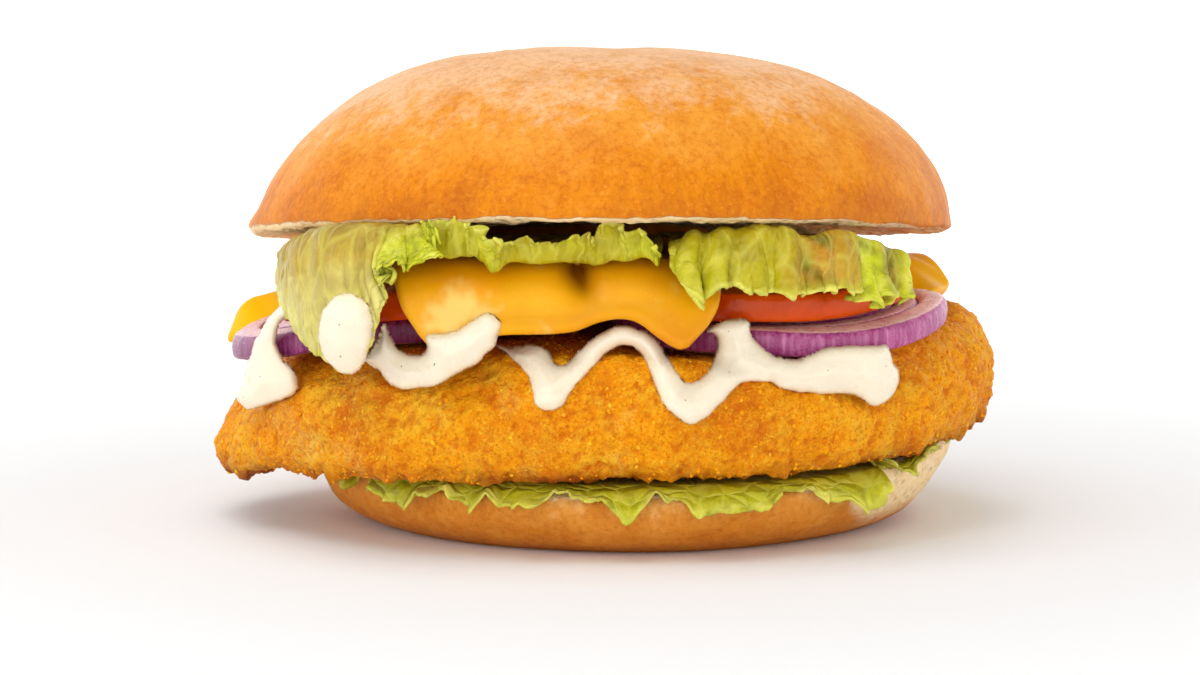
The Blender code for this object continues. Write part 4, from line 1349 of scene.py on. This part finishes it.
LEFT_LEAF = Leaf(
    "lettuce_left",
    (
        (
            (-42, -8, 48.4), (-43, -18, 48.4), (-43, -25, 48.5), (-41, -31, 48.7), (-38.5, -35, 48.9), (-36, -38, 49),
            (-34, -40, 49), (-32, -41, 49.1), (-30.5, -42, 49.1), (-29, -43, 49.2), (-28, -43.5, 49.2),
            (-27, -44, 49.2), (-26, -44, 49.2), (-25, -44.5, 49.2),
        ),
        (
            (-50.9, -14, 44.7), (-50.2, -24, 45.4), (-48, -34, 47.2), (-45.3, -41, 48.5), (-42.3, -46, 49.6),
            (-39.4, -48.5, 50.2), (-36.8, -50, 50.4), (-34.7, -51, 50.5), (-32.8, -51.5, 50.3), (-31.3, -52, 50.1),
            (-29.8, -52.3, 50.1), (-28.3, -52.3, 50.2), (-27.2, -52, 50.5), (-26.6, -51.5, 50.9),
        ),
        (
            (-51.8, -15, 43.2), (-50.8, -26, 43.3), (-49, -36, 43.9), (-46.3, -44, 45.1), (-42.9, -49, 46.3),
            (-39.7, -52, 47.1), (-37.2, -53.5, 47.5), (-35, -54.3, 47.8), (-33.2, -54.8, 48), (-32, -55, 48.2),
            (-29.9, -55, 48.5), (-28.2, -54.8, 48.7), (-26.7, -54.3, 49.3), (-26.2, -53.5, 50.7),
        ),
        (
            (-52, -16, 41.6), (-51, -27, 41.3), (-49.2, -37, 40.5), (-46.2, -45, 40.3), (-43, -50.3, 41),
            (-39.8, -53.2, 41.8), (-37.1, -54.6, 42.5), (-35.3, -55.2, 43.7), (-33.8, -55.6, 45), (-32.9, -55.8, 46.3),
            (-29.9, -55.8, 47), (-27.9, -55.6, 47.6), (-26.1, -55.2, 48.5), (-25.9, -54, 50.6),
        ),
        (
            (-51.7, -16.5, 40.7), (-51, -27.5, 39.8), (-48.8, -38, 37.5), (-45.6, -46, 35.5), (-42.3, -50.8, 35.1),
            (-38.9, -53.5, 34.7), (-36.2, -54.8, 36.9), (-34.4, -55.5, 39.6), (-33, -55.9, 42.3), (-32.8, -56.2, 45),
            (-30, -56.3, 46), (-27.2, -56.2, 46.3), (-25, -55.7, 47.8), (-25.4, -54.3, 50.6),
        ),
        (
            (-51.2, -16, 40), (-50.9, -27, 38.6), (-48.2, -38, 35.2), (-44.8, -46, 31.9), (-41.4, -50.5, 30.1),
            (-37.9, -53, 28.7), (-34.8, -54.5, 31.8), (-33.4, -55.3, 35.9), (-32, -55.8, 40.2), (-32.7, -56.3, 44.1),
            (-30.2, -56.5, 45.2), (-26.9, -56.5, 45.3), (-24.3, -56, 47.3), (-25, -54.5, 50.5),
        ),
    ),
    Frill(
        wide=(0.6, 5.0), curls=(1.1, 3.3), crimps=(0.62, 1.5), scallop=1.0, seed=2.0,
        strength=((0, 0.25), (0.35, 0.3), (0.46, 0.6), (0.60, 0.8), (0.66, 1.5), (1, 1.6)),
    ),
    rows=90,
    columns=420,
)
FRONT_LEAF = Leaf(
    "lettuce_front",
    (
        tuple((x, -24, 47.3) for x in (-25.8, -23.7, -21.6, -19.5, -17.8, -16.7, -15.2, -13.4, -10.6, -7.6, -4.6, -1.8, 0, 1.8, 4, 6.1, 7.6, 9.1)),
        tuple((x, -40, 47.0) for x in (-25.8, -23.7, -21.6, -19.5, -17.8, -16.7, -15.2, -13.4, -10.6, -7.6, -4.6, -1.8, 0, 1.8, 4, 6.1, 7.6, 9.1)),
        (
            (-25.9, -48, 46.7), (-23.8, -49, 46.2), (-21.7, -49.5, 46.3), (-19.6, -50, 46.7), (-17.9, -51.5, 45.7),
            (-16.8, -53, 44.2), (-15.3, -52.5, 44.9), (-13.6, -51, 45.7), (-10.9, -50.5, 45.5), (-7.9, -50.5, 45.5),
            (-4.9, -50.5, 45.4), (-2.2, -50.5, 45.2), (-0.4, -50.5, 45.4), (1.3, -50.5, 45.7), (3.4, -50.5, 46),
            (5.5, -50.8, 46.4), (7, -51.5, 46.2), (8.5, -52, 45.3),
        ),
        (
            (-25.7, -51.3, 46.5), (-23.6, -52.3, 45.9), (-21.5, -52.8, 46.1), (-19.4, -53.3, 46.4),
            (-17.7, -54.8, 45.5), (-16.6, -56.3, 44), (-15.2, -55.8, 44.7), (-13.5, -54.3, 45.5), (-10.8, -53.8, 45.3),
            (-7.8, -53.8, 45.3), (-4.9, -53.8, 45.1), (-2.2, -53.8, 45), (-0.4, -53.8, 45.1), (1.3, -53.8, 45.4),
            (3.4, -53.8, 45.7), (5.5, -54.1, 46.2), (6.9, -54.8, 45.9), (8.4, -55.3, 45.1),
        ),
        (
            (-25.7, -52.2, 49), (-23.6, -53.2, 48.7), (-21.5, -53.7, 48.6), (-19.4, -54.2, 48.6), (-17.7, -55.7, 47.7),
            (-16.6, -57.2, 46.5), (-15.1, -56.7, 46.4), (-13.4, -55.2, 46.9), (-10.8, -54.7, 46.8),
            (-7.8, -54.7, 46.7), (-4.9, -54.7, 46.8), (-2.2, -54.7, 47), (-0.4, -54.7, 48), (1.3, -54.7, 48.3),
            (3.4, -54.7, 47.9), (5.5, -55, 47.9), (6.9, -55.7, 47), (8.4, -56.2, 46.2),
        ),
        (
            (-25.7, -52.4, 51.4), (-23.5, -53.4, 51.3), (-21.4, -53.9, 51.1), (-19.3, -54.4, 50.6),
            (-17.7, -55.9, 49.8), (-16.6, -57.4, 48.9), (-15.1, -56.9, 48), (-13.4, -55.4, 48.2), (-10.8, -54.9, 48.3),
            (-7.8, -54.9, 48.2), (-4.9, -54.9, 48.5), (-2.2, -54.9, 49), (-0.4, -54.9, 50.8), (1.3, -54.9, 51.1),
            (3.4, -54.9, 50.1), (5.5, -55.2, 49.5), (6.9, -55.9, 48.1), (8.4, -56.4, 47.2),
        ),
    ),
    Frill(
        wide=(0.5, 6.5), curls=(0.9, 3.0), crimps=(0.62, 1.4), scallop=1.3, seed=5.0,
        strength=((0, 1.2), (0.3, 1.3), (0.42, 0.7), (0.6, 0.8), (0.8, 1.2), (1, 1.5)),
    ),
    columns=380,
)
RIGHT_LEAF = Leaf(
    "lettuce_right",
    (
        (
            (8.8, -18, 47.3), (11.6, -18, 47.3), (14.5, -18, 47.3), (17.5, -18, 47.3), (20.4, -18, 47.3),
            (23, -18, 47.3), (25.6, -18, 47.3), (27.6, -18, 47.3), (29.6, -18, 47.3), (31.5, -18, 47), (33, -18, 46.4),
            (34, -18, 45.8),
        ),
        (
            (10, -36, 47.8), (13, -36, 47.8), (16, -36, 47.8), (19.4, -36, 47.8), (23, -36, 47.8), (26.3, -36, 47.8),
            (29.5, -36, 47.8), (32, -36, 47.8), (34.8, -36, 47.8), (37, -36, 47.1), (38.3, -36, 46.2),
            (39.2, -36, 45.4),
        ),
        (
            (9.7, -52, 46.8), (12.1, -51, 48.5), (15, -50.5, 49.2), (18.6, -50, 49.8), (22.2, -50, 50.1),
            (25.5, -49.7, 50.2), (28.9, -49, 49), (31.6, -48, 48.3), (35, -46.5, 49.2), (38.5, -44, 48.3),
            (42.5, -41, 46.7), (46.6, -38, 44.7),
        ),
        (
            (9.5, -54, 45.7), (11.4, -55, 46.2), (14.3, -55.5, 45.8), (17.9, -55, 46.7), (21.7, -54.8, 46.7),
            (25.3, -54, 46.6), (28.9, -53, 46.1), (31.7, -51.5, 45.9), (35.4, -49.5, 46.3), (39, -46.5, 45.2),
            (42.6, -43.5, 44.1), (46.7, -40, 42.8),
        ),
        (
            (9.6, -55, 44.9), (11.5, -56.5, 44.1), (14.6, -57.2, 42.7), (17.5, -57, 43.6), (21.6, -56.8, 43.3),
            (25.5, -56, 43.2), (28.8, -55, 42.7), (31.9, -53, 43), (35.3, -51.2, 43.2), (39.1, -48.5, 42.1),
            (42.7, -45.5, 40.9), (46.6, -41.5, 40.6),
        ),
        (
            (10.2, -55.5, 43.8), (11.9, -57, 42.3), (14.8, -57.6, 39.9), (17.5, -57.3, 41.5), (21.6, -57, 41.1),
            (25.5, -56.3, 40.7), (28.9, -55.4, 40.1), (32.2, -53.5, 40.8), (35.6, -52, 40.5), (39.3, -49.5, 39.7),
            (42.9, -46.5, 38.6), (46.3, -42.5, 38.6),
        ),
    ),
    Frill(
        wide=(1.4, 5.5), curls=(0.9, 2.6), crimps=(0.42, 1.2), scallop=1.1, seed=8.0,
        strength=(
            (0, 1.3), (0.25, 1.2), (0.4, 0.8), (0.78, 0.9), (0.83, 1.7), (0.88, 1.5), (0.92, 0.9), (0.96, 1.6), (1, 1.6),
        ),
    ),
    columns=420,
    stain=(
        (0, 0), (0.45, 0), (0.55, 0.9), (0.76, 1), (0.81, 0.1), (0.87, 0), (0.90, 0.9), (0.94, 0.9), (0.97, 0), (1, 0),
    ),
)


@dataclass(frozen=True)
class Lettuce:
    """All the leaves: three in front under the crown, one behind, and one under the fillet."""

    back_stations: tuple[tuple[float, float, float], ...] = (
        (38, 56.4, 34.6), (60, 57.2, 33), (90, 57.8, 34), (120, 57.2, 32.5), (158, 56.5, 34),
    )
    under_hang: Pairs = (
        (0, 0.6), (60, 0.8), (100, 1.2), (150, 0.8), (195, 0.4), (206, 0.3), (210, 1.6), (214, 2.0), (218, 0.6),
        (221, 3.0), (225, 4.2), (230, 3.8), (234, 1.6), (237, 0.6), (240, 3.0), (242.5, 4.8), (244.5, 0.8), (248, 2.6),
        (254, 2.2), (260, 1.2), (264, 2.6), (268, 3.8), (271.5, 1.2), (277, 2.0), (284, 3.0), (290, 2.8), (296, 2.0),
        (299, 0.6), (303, 2.6), (308, 4.8), (312, 3.2), (314.5, 0), (316.5, -0.6), (318.5, 2.4), (321, 2.4), (323.5, -0.6),
        (360, 0.6),
    )

    def back_net(self) -> tuple[tuple[tuple[float, float, float], ...], ...]:
        """Net of the leaf behind: it runs out under the crown and hangs down over the cheese."""
        rows = []
        for v in np.linspace(0, 1, 7):
            row = []
            for degrees in np.linspace(self.back_stations[0][0], self.back_stations[-1][0], 12):
                wall = float(through([(a, r) for a, r, _ in self.back_stations], np.array(degrees)))
                hem = float(through([(a, h) for a, _, h in self.back_stations], np.array(degrees)))
                angle, reach = math.radians(degrees), wall * (0.42 + 0.58 * math.sin(min(1.0, v / 0.7) * math.pi / 2))
                x, y = reach * math.cos(angle), reach * math.sin(angle)
                below = float(STACK.salad_top(np.array(x * 0.9), np.array(y * 0.9))) + 4.5
                above = 46.8 - 0.082 * y
                top = min((below + above) / 2, below + 3.6)
                row.append((x, y, top + (hem - top) * float(smooth_step(np.array((v - 0.45) / 0.5)))))
            rows.append(tuple(row))
        return tuple(rows)

    def under_leaf(self, material: bpy.types.Material) -> Shape:
        """The leaf on the heel: flat within, lobed and crimped where it hangs over the rim.

        Args:
            material: its finish.

        Returns:
            Its shape.
        """
        angle = np.linspace(0, math.tau, 1100, endpoint=False)
        v = np.concatenate([np.linspace(0.03, 0.5, 4), np.linspace(0.56, 1, 30)])[:, None] + 0 * angle
        degrees = np.degrees(angle)
        arc = angle * STACK.heel_radius
        ring = np.stack([np.cos(angle), np.sin(angle), 0 * angle], -1) * STACK.heel_radius
        hang = through(self.under_hang, degrees) * (1 + 0.25 * fractal(ring, 5, 2, 3))
        front = smooth_step((0.45 - np.sin(angle)) / 1.1)
        rim = STACK.heel_radius - 1.2
        t = np.clip((v - 0.6) / 0.4, 0, 1)
        reach = rim * np.minimum(v / 0.6, 1) + t * (2.0 + 0.45 * np.maximum(hang, 0) + 0.8 * front)
        waves = 0.9 * fractal(ring, 6, 2, 1)
        curls, crimps = 3.4 * fractal(ring, 3.4, 2, 9), 2.2 * fractal(ring, 1.1, 2, 5)
        reach -= t * 6.5 * np.maximum(hump(degrees, 336, 9), hump(degrees, 315.5, 1.2))
        reach = reach + t**1.5 * waves * (0.4 + 0.6 * front) + t**3 * (1.0 * curls + 0.35 * crimps) * (0.4 + 0.6 * front)
        reach = np.minimum(reach, 58.2 + 0.1 * np.maximum(0, reach - 58.2))
        x, y = STACK.heel_x + reach * np.cos(angle), reach * np.sin(angle)
        right = smooth_step((np.cos(angle) - 0.55) / 0.45) * np.clip((v - 0.5) / 0.5, 0, 1)
        z = STACK.heel_height + STACK.forward * y + 0.9 + 3.2 * right
        lift = 2.2 * fractal(ring, 3.6, 2, 14) + 0.5 * fractal(ring, 1.3, 2, 15)
        z = z - t**1.3 * hang + t**2 * (1.0 * lift + 0.4 * waves) * (0.3 + 0.7 * front)
        middle = np.stack([x, y, z], -1)
        normal = normals_of(middle, wrap=True)
        half = 0.24 * np.minimum(1, (1 - v) / 0.02)[..., None]
        rings = np.concatenate([middle + normal * half, (middle - normal * half)[::-1][1:]])
        marks = {"edge": np.clip((v - 0.25) / 0.7, 0, 1), "along": 0 * v + arc * MM, "out": v * 60 * MM}
        marks["frill"] = 0.6 * smooth_step((t - 0.2) / 0.4) * front * smooth_step((hang - 1.4) / 1.6)
        both = {key: np.concatenate([value, value[::-1][1:]]) for key, value in marks.items()}
        shape = closed_rings(rings + shift_of("lettuce_lower"), both)
        dressed("lettuce_under_fillet", shape, material, Slot.LETTUCE, "lettuce_lower")
        return shape

    def build(self, olive: LeafFinish, green: LeafFinish) -> list[Shape]:
        """Makes the five leaves.

        Args:
            olive: finish of the broad left leaf.
            green: finish of the others.

        Returns:
            Their shapes.
        """
        fresh = green.material()
        back = Leaf("lettuce_back", self.back_net(), Frill(wide=(1.0, 8), seed=12.0), columns=360)
        return [
            LEFT_LEAF.build("lettuce_draped_left", olive.material()),
            FRONT_LEAF.build("lettuce_frill_front", fresh),
            RIGHT_LEAF.build("lettuce_draped_right", fresh),
            back.build("lettuce_draped_back", fresh),
            self.under_leaf(fresh),
        ]


# ---- sauce ------------------------------------------------------------------------------


def furthest(field: Array, reach: int) -> Array:
    """Highest value within reach of each cell, in a round window."""
    padded = np.pad(field, reach, mode="edge")
    rows, columns = field.shape
    best = field.copy()
    for i in range(-reach, reach + 1):
        for j in range(-reach, reach + 1):
            if i * i + j * j <= reach * reach:
                best = np.maximum(best, padded[reach + i : reach + i + rows, reach + j : reach + j + columns])
    return best


def softened(field: Array, reach: float) -> Array:
    """Evens a field out over that many cells."""
    span = int(3 * reach) + 1
    bell = np.exp(-0.5 * (np.arange(-span, span + 1) / reach) ** 2)
    bell /= bell.sum()
    for axis in (0, 1):
        padded = np.pad(field, [(span, span) if k == axis else (0, 0) for k in (0, 1)], mode="edge")
        field = np.apply_along_axis(lambda line: np.convolve(line, bell, "valid"), axis, padded)
    return field


@dataclass(frozen=True)
class Pour:
    """One run of sauce: its outline as seen from the front, across and up."""

    node: str
    outline: Pairs
    depth: float = 2.0
    rounding: float = 1.6
    hold: Pairs = ((-60, 0), (60, 0))
    cell: float = 0.3
    bridge: float = 2.1

    def edge(self) -> Array:
        """The outline as a smooth, slightly ragged closed line."""
        knots = np.array(self.outline, float)
        angle = np.linspace(0, math.tau, 8 * len(knots), endpoint=False)
        line = np.stack([around(knots[:, 0], angle), around(knots[:, 1], angle), 0 * angle], -1)
        return line[:, :2] + 0.16 * np.stack([fractal(line, 1.6, 3, 1), fractal(line, 1.6, 3, 2)], -1)

    def inside(self, x: Array, z: Array) -> Array:
        """Distance of places from the outline, above 0 inside it."""
        line = self.edge()
        near, within = np.full(x.shape, np.inf), np.zeros(x.shape, bool)
        for (ax, az), (bx, bz) in zip(line, np.roll(line, -1, 0)):
            t = np.clip(((x - ax) * (bx - ax) + (z - az) * (bz - az)) / ((bx - ax) ** 2 + (bz - az) ** 2 + 1e-9), 0, 1)
            near = np.minimum(near, np.hypot(x - ax - t * (bx - ax), z - az - t * (bz - az)))
            if az != bz:
                within ^= ((az > z) != (bz > z)) & (x < (bx - ax) * (z - az) / (bz - az) + ax)
        return np.where(within, near, -near)

    def ground(self, x: Array, z: Array, below: BVHTree) -> Array:
        """How far forward the layers stand behind each place, with no holes."""
        found = [below.ray_cast((a, -90.0, b), (0, 1, 0))[0] for a, b in zip(x.ravel().tolist(), z.ravel().tolist())]
        front = np.array([math.nan if hit is None else -hit.y for hit in found]).reshape(x.shape)
        for _ in range(80):
            if not np.isnan(front).any():
                break
            padded = np.pad(front, 1, mode="edge")
            around_it = np.stack([padded[2:, 1:-1], padded[:-2, 1:-1], padded[1:-1, 2:], padded[1:-1, :-2]])
            known = ~np.isnan(around_it)
            mean = np.where(known, around_it, 0).sum(0) / np.maximum(known.sum(0), 1)
            front = np.where(np.isnan(front) & (known.sum(0) > 0), mean - 0.4, front)
        return np.maximum(np.nan_to_num(front, nan=40.0), through(self.hold, x))

    def build(self, name: str, below: BVHTree, material: bpy.types.Material) -> bpy.types.Object:
        """Makes the pour: a rounded skin that clings to what lies behind it.

        Args:
            name: the piece's name.
            below: the layers that it lies on.
            material: its finish.

        Returns:
            The object.
        """
        knots = np.array(self.outline, float)
        low, high = knots.min(0) - 1.5, knots.max(0) + 1.5
        x, z = np.meshgrid(np.arange(low[0], high[0], self.cell), np.arange(low[1], high[1], self.cell), indexing="ij")
        inside = self.inside(x, z)
        slope = np.stack(np.gradient(inside, self.cell), 0)
        snap = (np.abs(inside) < 0.55 * self.cell) / np.maximum(np.hypot(*slope), 0.3)
        x, z = x - inside * snap * slope[0], z - inside * snap * slope[1]
        kept = inside > -0.55 * self.cell
        inside = np.maximum(0, np.where(snap > 0, 0, inside))
        bare = self.ground(x, z, below)
        reach = round(self.bridge / self.cell)
        smooth = softened(-furthest(-furthest(bare, reach), reach), 2.6)
        deep = smooth_step(inside / 1.7)
        base = (1 - deep) * softened(bare, 1.2) + deep * np.maximum(smooth, softened(bare, 2.0))
        across = np.stack([x, 0 * x, z], -1)
        full = self.depth * (1 + 0.22 * fractal(across, 7, 2, 3))
        dome = full * np.sqrt(1 - (1 - np.minimum(inside / self.rounding, 1)) ** 2)
        dome += 0.35 * smooth_step((inside - 0.8) / 3) * self.depth
        front, back = base + dome - 0.12, base - 0.55
        cells = np.stack([kept[:-1, :-1], kept[:-1, 1:], kept[1:, 1:], kept[1:, :-1]])
        index = np.arange(x.size).reshape(x.shape)
        corners = np.stack([index[:-1, :-1], index[:-1, 1:], index[1:, 1:], index[1:, :-1]])
        whole = cells.all(0)
        full_cells = np.pad(whole, 1)
        inner = full_cells[:-1, :-1] & full_cells[:-1, 1:] & full_cells[1:, 1:] & full_cells[1:, :-1]
        behind = np.where(inner, index + x.size, index).ravel()
        faces = corners[:, whole].T.tolist()
        for cell in np.argwhere(cells.sum(0) == 3):
            faces.append([int(corners[k, cell[0], cell[1]]) for k in range(4) if cells[k, cell[0], cell[1]]])
        faces = [face for face in faces if any(behind[corner] != corner for corner in face)]
        faces += [[int(behind[corner]) for corner in face[::-1]] for face in faces]
        points = np.concatenate([np.stack([x, -front, z], -1).reshape(-1, 3), np.stack([x, -back, z], -1).reshape(-1, 3)])
        used = np.unique(np.concatenate([np.array(face) for face in faces]))
        renumber = np.zeros(len(points), int)
        renumber[used] = np.arange(len(used))
        thin = np.tile((1 - np.clip(dome / self.depth, 0, 1)).ravel(), 2)
        faces = [[int(renumber[corner]) for corner in face] for face in faces]
        facing = np.concatenate([smooth_step((inside - 1.4) / 0.4).ravel(), 0 * dome.ravel()])
        shape = Shape(points[used] + shift_of(self.node), faces, {"thin": thin[used], "facing": facing[used]}).outward()
        return dressed(name, shape, material, Slot.SAUCE, self.node)


LEFT_END = Pour(
    "sauce_left_end",
    (
        (-49.7, 37.2), (-52.2, 34.8), (-54.4, 31.2), (-55.5, 28.5), (-56.4, 26.2), (-56.6, 24.4), (-57.8, 22.9),
        (-57.7, 21.2), (-55.8, 20.1), (-53.6, 20.8), (-51.5, 21.7), (-49.2, 22.5), (-47.4, 23.7), (-47.1, 25.6),
        (-47.8, 27.2), (-49.4, 28.4), (-50.5, 30.2), (-50.8, 32.4), (-50.0, 34.2), (-48.8, 35.8),
    ),
    hold=((-60, 24), (-54, 30), (-48, 35)),
)
ON_LEAF = Pour(
    "sauce_on_leaf",
    (
        (-39.5, 40.3), (-36.8, 40.5), (-34.6, 39), (-34.0, 35.7), (-34.6, 32.6), (-35.5, 30.2), (-36.9, 28.6),
        (-38.7, 28.4), (-40.5, 29.4), (-42.0, 31.2), (-42.5, 33.6), (-42.3, 36.2), (-41.5, 38.4),
    ),
    rounding=2.4,
    hold=((-44, 50.2), (-40, 52.2), (-36, 54.2), (-33, 54.8)),
)
FRONT_LEFT = Pour(
    "sauce_front_left",
    (
        (-36.1, 29.9), (-34.9, 31.6), (-33.8, 33.6), (-32.9, 36), (-32, 33.9), (-30.8, 32), (-29.2, 31.1), (-27.5, 31.1),
        (-26.4, 32.2), (-26.2, 34.4),
        (-23.7, 34.6), (-21.7, 35.1), (-20.1, 36.1), (-18.8, 37), (-17.4, 37.6), (-15.7, 37.1), (-15.1, 35.9),
        (-15.6, 34.3), (-16.2, 32.5), (-17.6, 31), (-19, 29.8), (-20.8, 29), (-22.1, 28.3), (-24.8, 26.7),
        (-27.5, 26), (-30, 25.6), (-31.9, 26.1), (-33, 27.1), (-33.8, 28.1), (-35.2, 28.9),
    ),
    hold=((-38, 44), (-34, 46.5), (-28, 50.5), (-24, 53.5), (-16, 54)),
)
DRIZZLE = Pour(
    "sauce_drizzle",
    (
        (-16.5, 31.9), (-14.1, 31.9), (-11.3, 32.4), (-8.6, 31.8), (-7, 29.7), (-5.3, 30), (-3.4, 32.1), (-0.4, 34.3),
        (2.5, 35.5), (5.5, 35), (7.7, 33.6), (9.6, 30.9), (11.4, 28.3), (12.9, 27.3), (15.1, 28.3), (16.5, 30.3),
        (17.2, 32.7), (16.3, 34.3), (15.1, 33.9), (17, 35.8), (21.5, 36.4), (22.2, 34.2), (24, 31.9), (26.3, 30.6),
        (29.2, 30.4), (32.9, 31.8), (36.6, 32.1), (41.1, 32.1), (43, 31.8), (44.1, 29.1), (45.1, 27.6), (44.7, 25.2),
        (43.2, 23.7), (40.6, 22.8), (38.5, 24.3), (36.4, 24.9), (32.2, 25), (27.8, 25.6), (24.8, 26.8), (21.8, 27.1),
        (19.6, 26.2), (17.4, 23.9), (15.2, 22.1), (12.9, 21.3), (10.7, 22.4), (8.5, 24.6), (7, 28.3), (5.5, 31.3),
        (3.3, 32.5), (1, 31.6), (-1.6, 29.1), (-4, 26.8), (-6.1, 23.9), (-8.6, 23.1), (-10.3, 24.2), (-10.8, 26.8),
        (-12.3, 29.1), (-14.7, 30.7),
    ),
    hold=((-18, 43), (-8, 49.5), (3, 51), (14, 49.5), (25, 50), (36, 48.5), (43, 45.5), (47, 40)),
)


@dataclass(frozen=True)
class Sauce:
    """The four pours, with flecks of herb and pepper in them."""

    flecks: Scatter = Scatter("herb_flecks", 3.0, 0.18, 0.45, 0.25, 0.10, lies_flat=True, seed=4)

    def build(self, below: Sequence[Shape], finish: SauceFinish, herbs: CrumbFinish) -> None:
        """Makes the pours.

        Args:
            below: the layers that they lie on.
            finish: the sauce's finish.
            herbs: the flecks' finish.
        """
        starts = np.cumsum([0] + [len(shape.points) for shape in below])
        points = np.concatenate([shape.points for shape in below]).tolist()
        faces = [[corner + start for corner in face] for shape, start in zip(below, starts.tolist()) for face in shape.faces]
        tree = BVHTree.FromPolygons(points, faces)
        white, specks = finish.material(), herbs.material()
        pours = {"sauce_at_left_end": LEFT_END, "sauce_on_left_leaf": ON_LEAF, "sauce_under_flap": FRONT_LEFT, "sauce_in_front": DRIZZLE}
        for name, pour in pours.items():
            piece = pour.build(name, tree, white)
            flecks = Scatter(
                "flecks_" + name.removeprefix("sauce_"), self.flecks.per_cm2, self.flecks.smallest, self.flecks.largest,
                self.flecks.flatness, self.flecks.uneven, "facing", lies_flat=True, seed=self.flecks.seed,
            )
            flecks.strewn(piece, specks, Slot.SAUCE)


# ---- studio -----------------------------------------------------------------------------


@dataclass(frozen=True)
class Studio:
    """White floor that curves up behind, soft lights and the camera."""

    camera_place: tuple[float, float, float] = (-0.0005, -0.5, 0.075)
    camera_pitch: float = 84.74
    lens: float = 90.6

    def build_floor(self, finish: FloorFinish) -> None:
        """Makes the floor: a flat round dish whose far rim turns up.

        Args:
            finish: its finish.
        """
        reach = np.array([0.02, 0.1, 0.25, 0.5, 0.9, 1.4, 1.8, 2.1, 2.35, 2.5, 2.58]) / MM
        height = np.array([0, 0, 0, 0, 0, 0, 0.04, 0.16, 0.42, 0.85, 1.5]) / MM
        angle = np.linspace(0, math.tau, 72, endpoint=False)
        points = np.stack(
            [reach[:, None] * np.cos(angle), reach[:, None] * np.sin(angle), height[:, None] + 0 * angle], -1
        )
        index = np.arange(len(reach) * 72).reshape(len(reach), 72)
        faces = quads(np.column_stack([index, index[:, 0]])) + [index[0].tolist()]
        mesh = bpy.data.meshes.new("studio_floor")
        mesh.from_pydata((points.reshape(-1, 3) * MM).tolist(), [], faces)
        mesh.shade_smooth()
        mesh.materials.append(finish.material())
        floor = bpy.data.objects.new("studio_floor", mesh)
        bpy.context.scene.collection.objects.link(floor)

    def light(self, name: str, place: tuple[float, float, float], size: float, power: float) -> None:
        """Adds a square soft light that faces the burger.

        Args:
            name: its name.
            place: where it hangs, in metres.
            size: its side.
            power: its power.
        """
        lamp = bpy.data.lights.new(name, "AREA")
        lamp.size, lamp.energy = size, power
        holder = bpy.data.objects.new(name, lamp)
        holder.location = place
        aim = np.array((0, 0, 0.04)) - np.array(place)
        holder.rotation_euler = (math.atan2(math.hypot(aim[0], aim[1]), -aim[2]), 0, math.atan2(-aim[0], aim[1]))
        bpy.context.scene.collection.objects.link(holder)

    def build(self, finish: FloorFinish) -> None:
        """Makes the floor, the lights, the sky and the camera.

        Args:
            finish: finish of the floor.
        """
        scene = bpy.context.scene
        self.build_floor(finish)
        self.light("overhead_light", (-0.22, -0.20, 0.95), 0.8, 4.8)
        self.light("front_light", (-0.35, -1.1, 0.55), 0.8, 1.4)
        world = bpy.data.worlds.new("studio_sky")
        world.use_nodes = True
        world.node_tree.nodes["Background"].inputs["Color"].default_value = (1.0, 1.0, 1.0, 1)
        world.node_tree.nodes["Background"].inputs["Strength"].default_value = 0.33
        scene.world = world
        scene.view_settings.view_transform = "Standard"
        camera = bpy.data.cameras.new("camera")
        camera.lens, camera.sensor_width, camera.clip_end = self.lens, 36.0, 20.0
        holder = bpy.data.objects.new("camera", camera)
        holder.location = self.camera_place
        holder.rotation_euler = (math.radians(self.camera_pitch), 0, 0)
        scene.collection.objects.link(holder)
        scene.camera = holder


# ---- the whole burger -------------------------------------------------------------------


def main() -> None:
    """Builds the burger layer by layer and sets it in the studio."""
    logging.basicConfig(level=logging.INFO, format="%(message)s")
    Studio().build(FloorFinish())
    # The pale peach top colour of the crown is partly a painted sheen of the overhead light.
    crown_crust = CrustFinish(
        "crown_crust", rim=screen(208, 120, 12), low=screen(222, 132, 4), middle=screen(234, 156, 52), top=screen(239, 187, 138)
    )
    heel_crust = CrustFinish(
        "heel_crust", rim=screen(200, 120, 34), low=screen(214, 132, 36), middle=screen(226, 152, 60), top=screen(240, 190, 124),
        gloss=0.62,
    )
    bun = Bun()
    bun.build_heel(heel_crust)
    fillet = Fillet().build(BreadingFinish())
    # The left onion lies in shade, so it takes a darker copy of the onion finish: painted shade.
    deep = OnionFinish("onion_painted_in_shade", screen(118, 28, 88), screen(166, 78, 134), screen(222, 168, 176), screen(196, 110, 140))
    slices = Slices().build((deep, OnionFinish("onion")), TomatoFinish())
    # The slice on the salad lies in the crown's shade, so its yellow and orange are painted brighter than the flap's:
    # painted light. Its low gloss is real.
    dull = CheeseFinish("dull_cheese_painted_brighter", 0.04, yellow=screen(252, 186, 6), orange=screen(244, 160, 0))
    cheeses = Cheese().build(dull, CheeseFinish())
    olive = LeafFinish("left_leaf", heart=screen(150, 110, 24), blade=screen(184, 154, 52), margin=screen(226, 216, 128))
    green = LeafFinish("green_leaf", heart=screen(160, 124, 12), blade=screen(176, 156, 6), margin=screen(188, 176, 18))
    leaves = Lettuce().build(olive, green)
    herbs = CrumbFinish("herbs", (screen(120, 124, 90), screen(160, 150, 110), screen(96, 90, 70)))
    Sauce().build([fillet, *slices, *cheeses, *leaves[:3]], SauceFinish(), herbs)
    bun.build_crown(crown_crust)


if __name__ == "__main__":
    main()
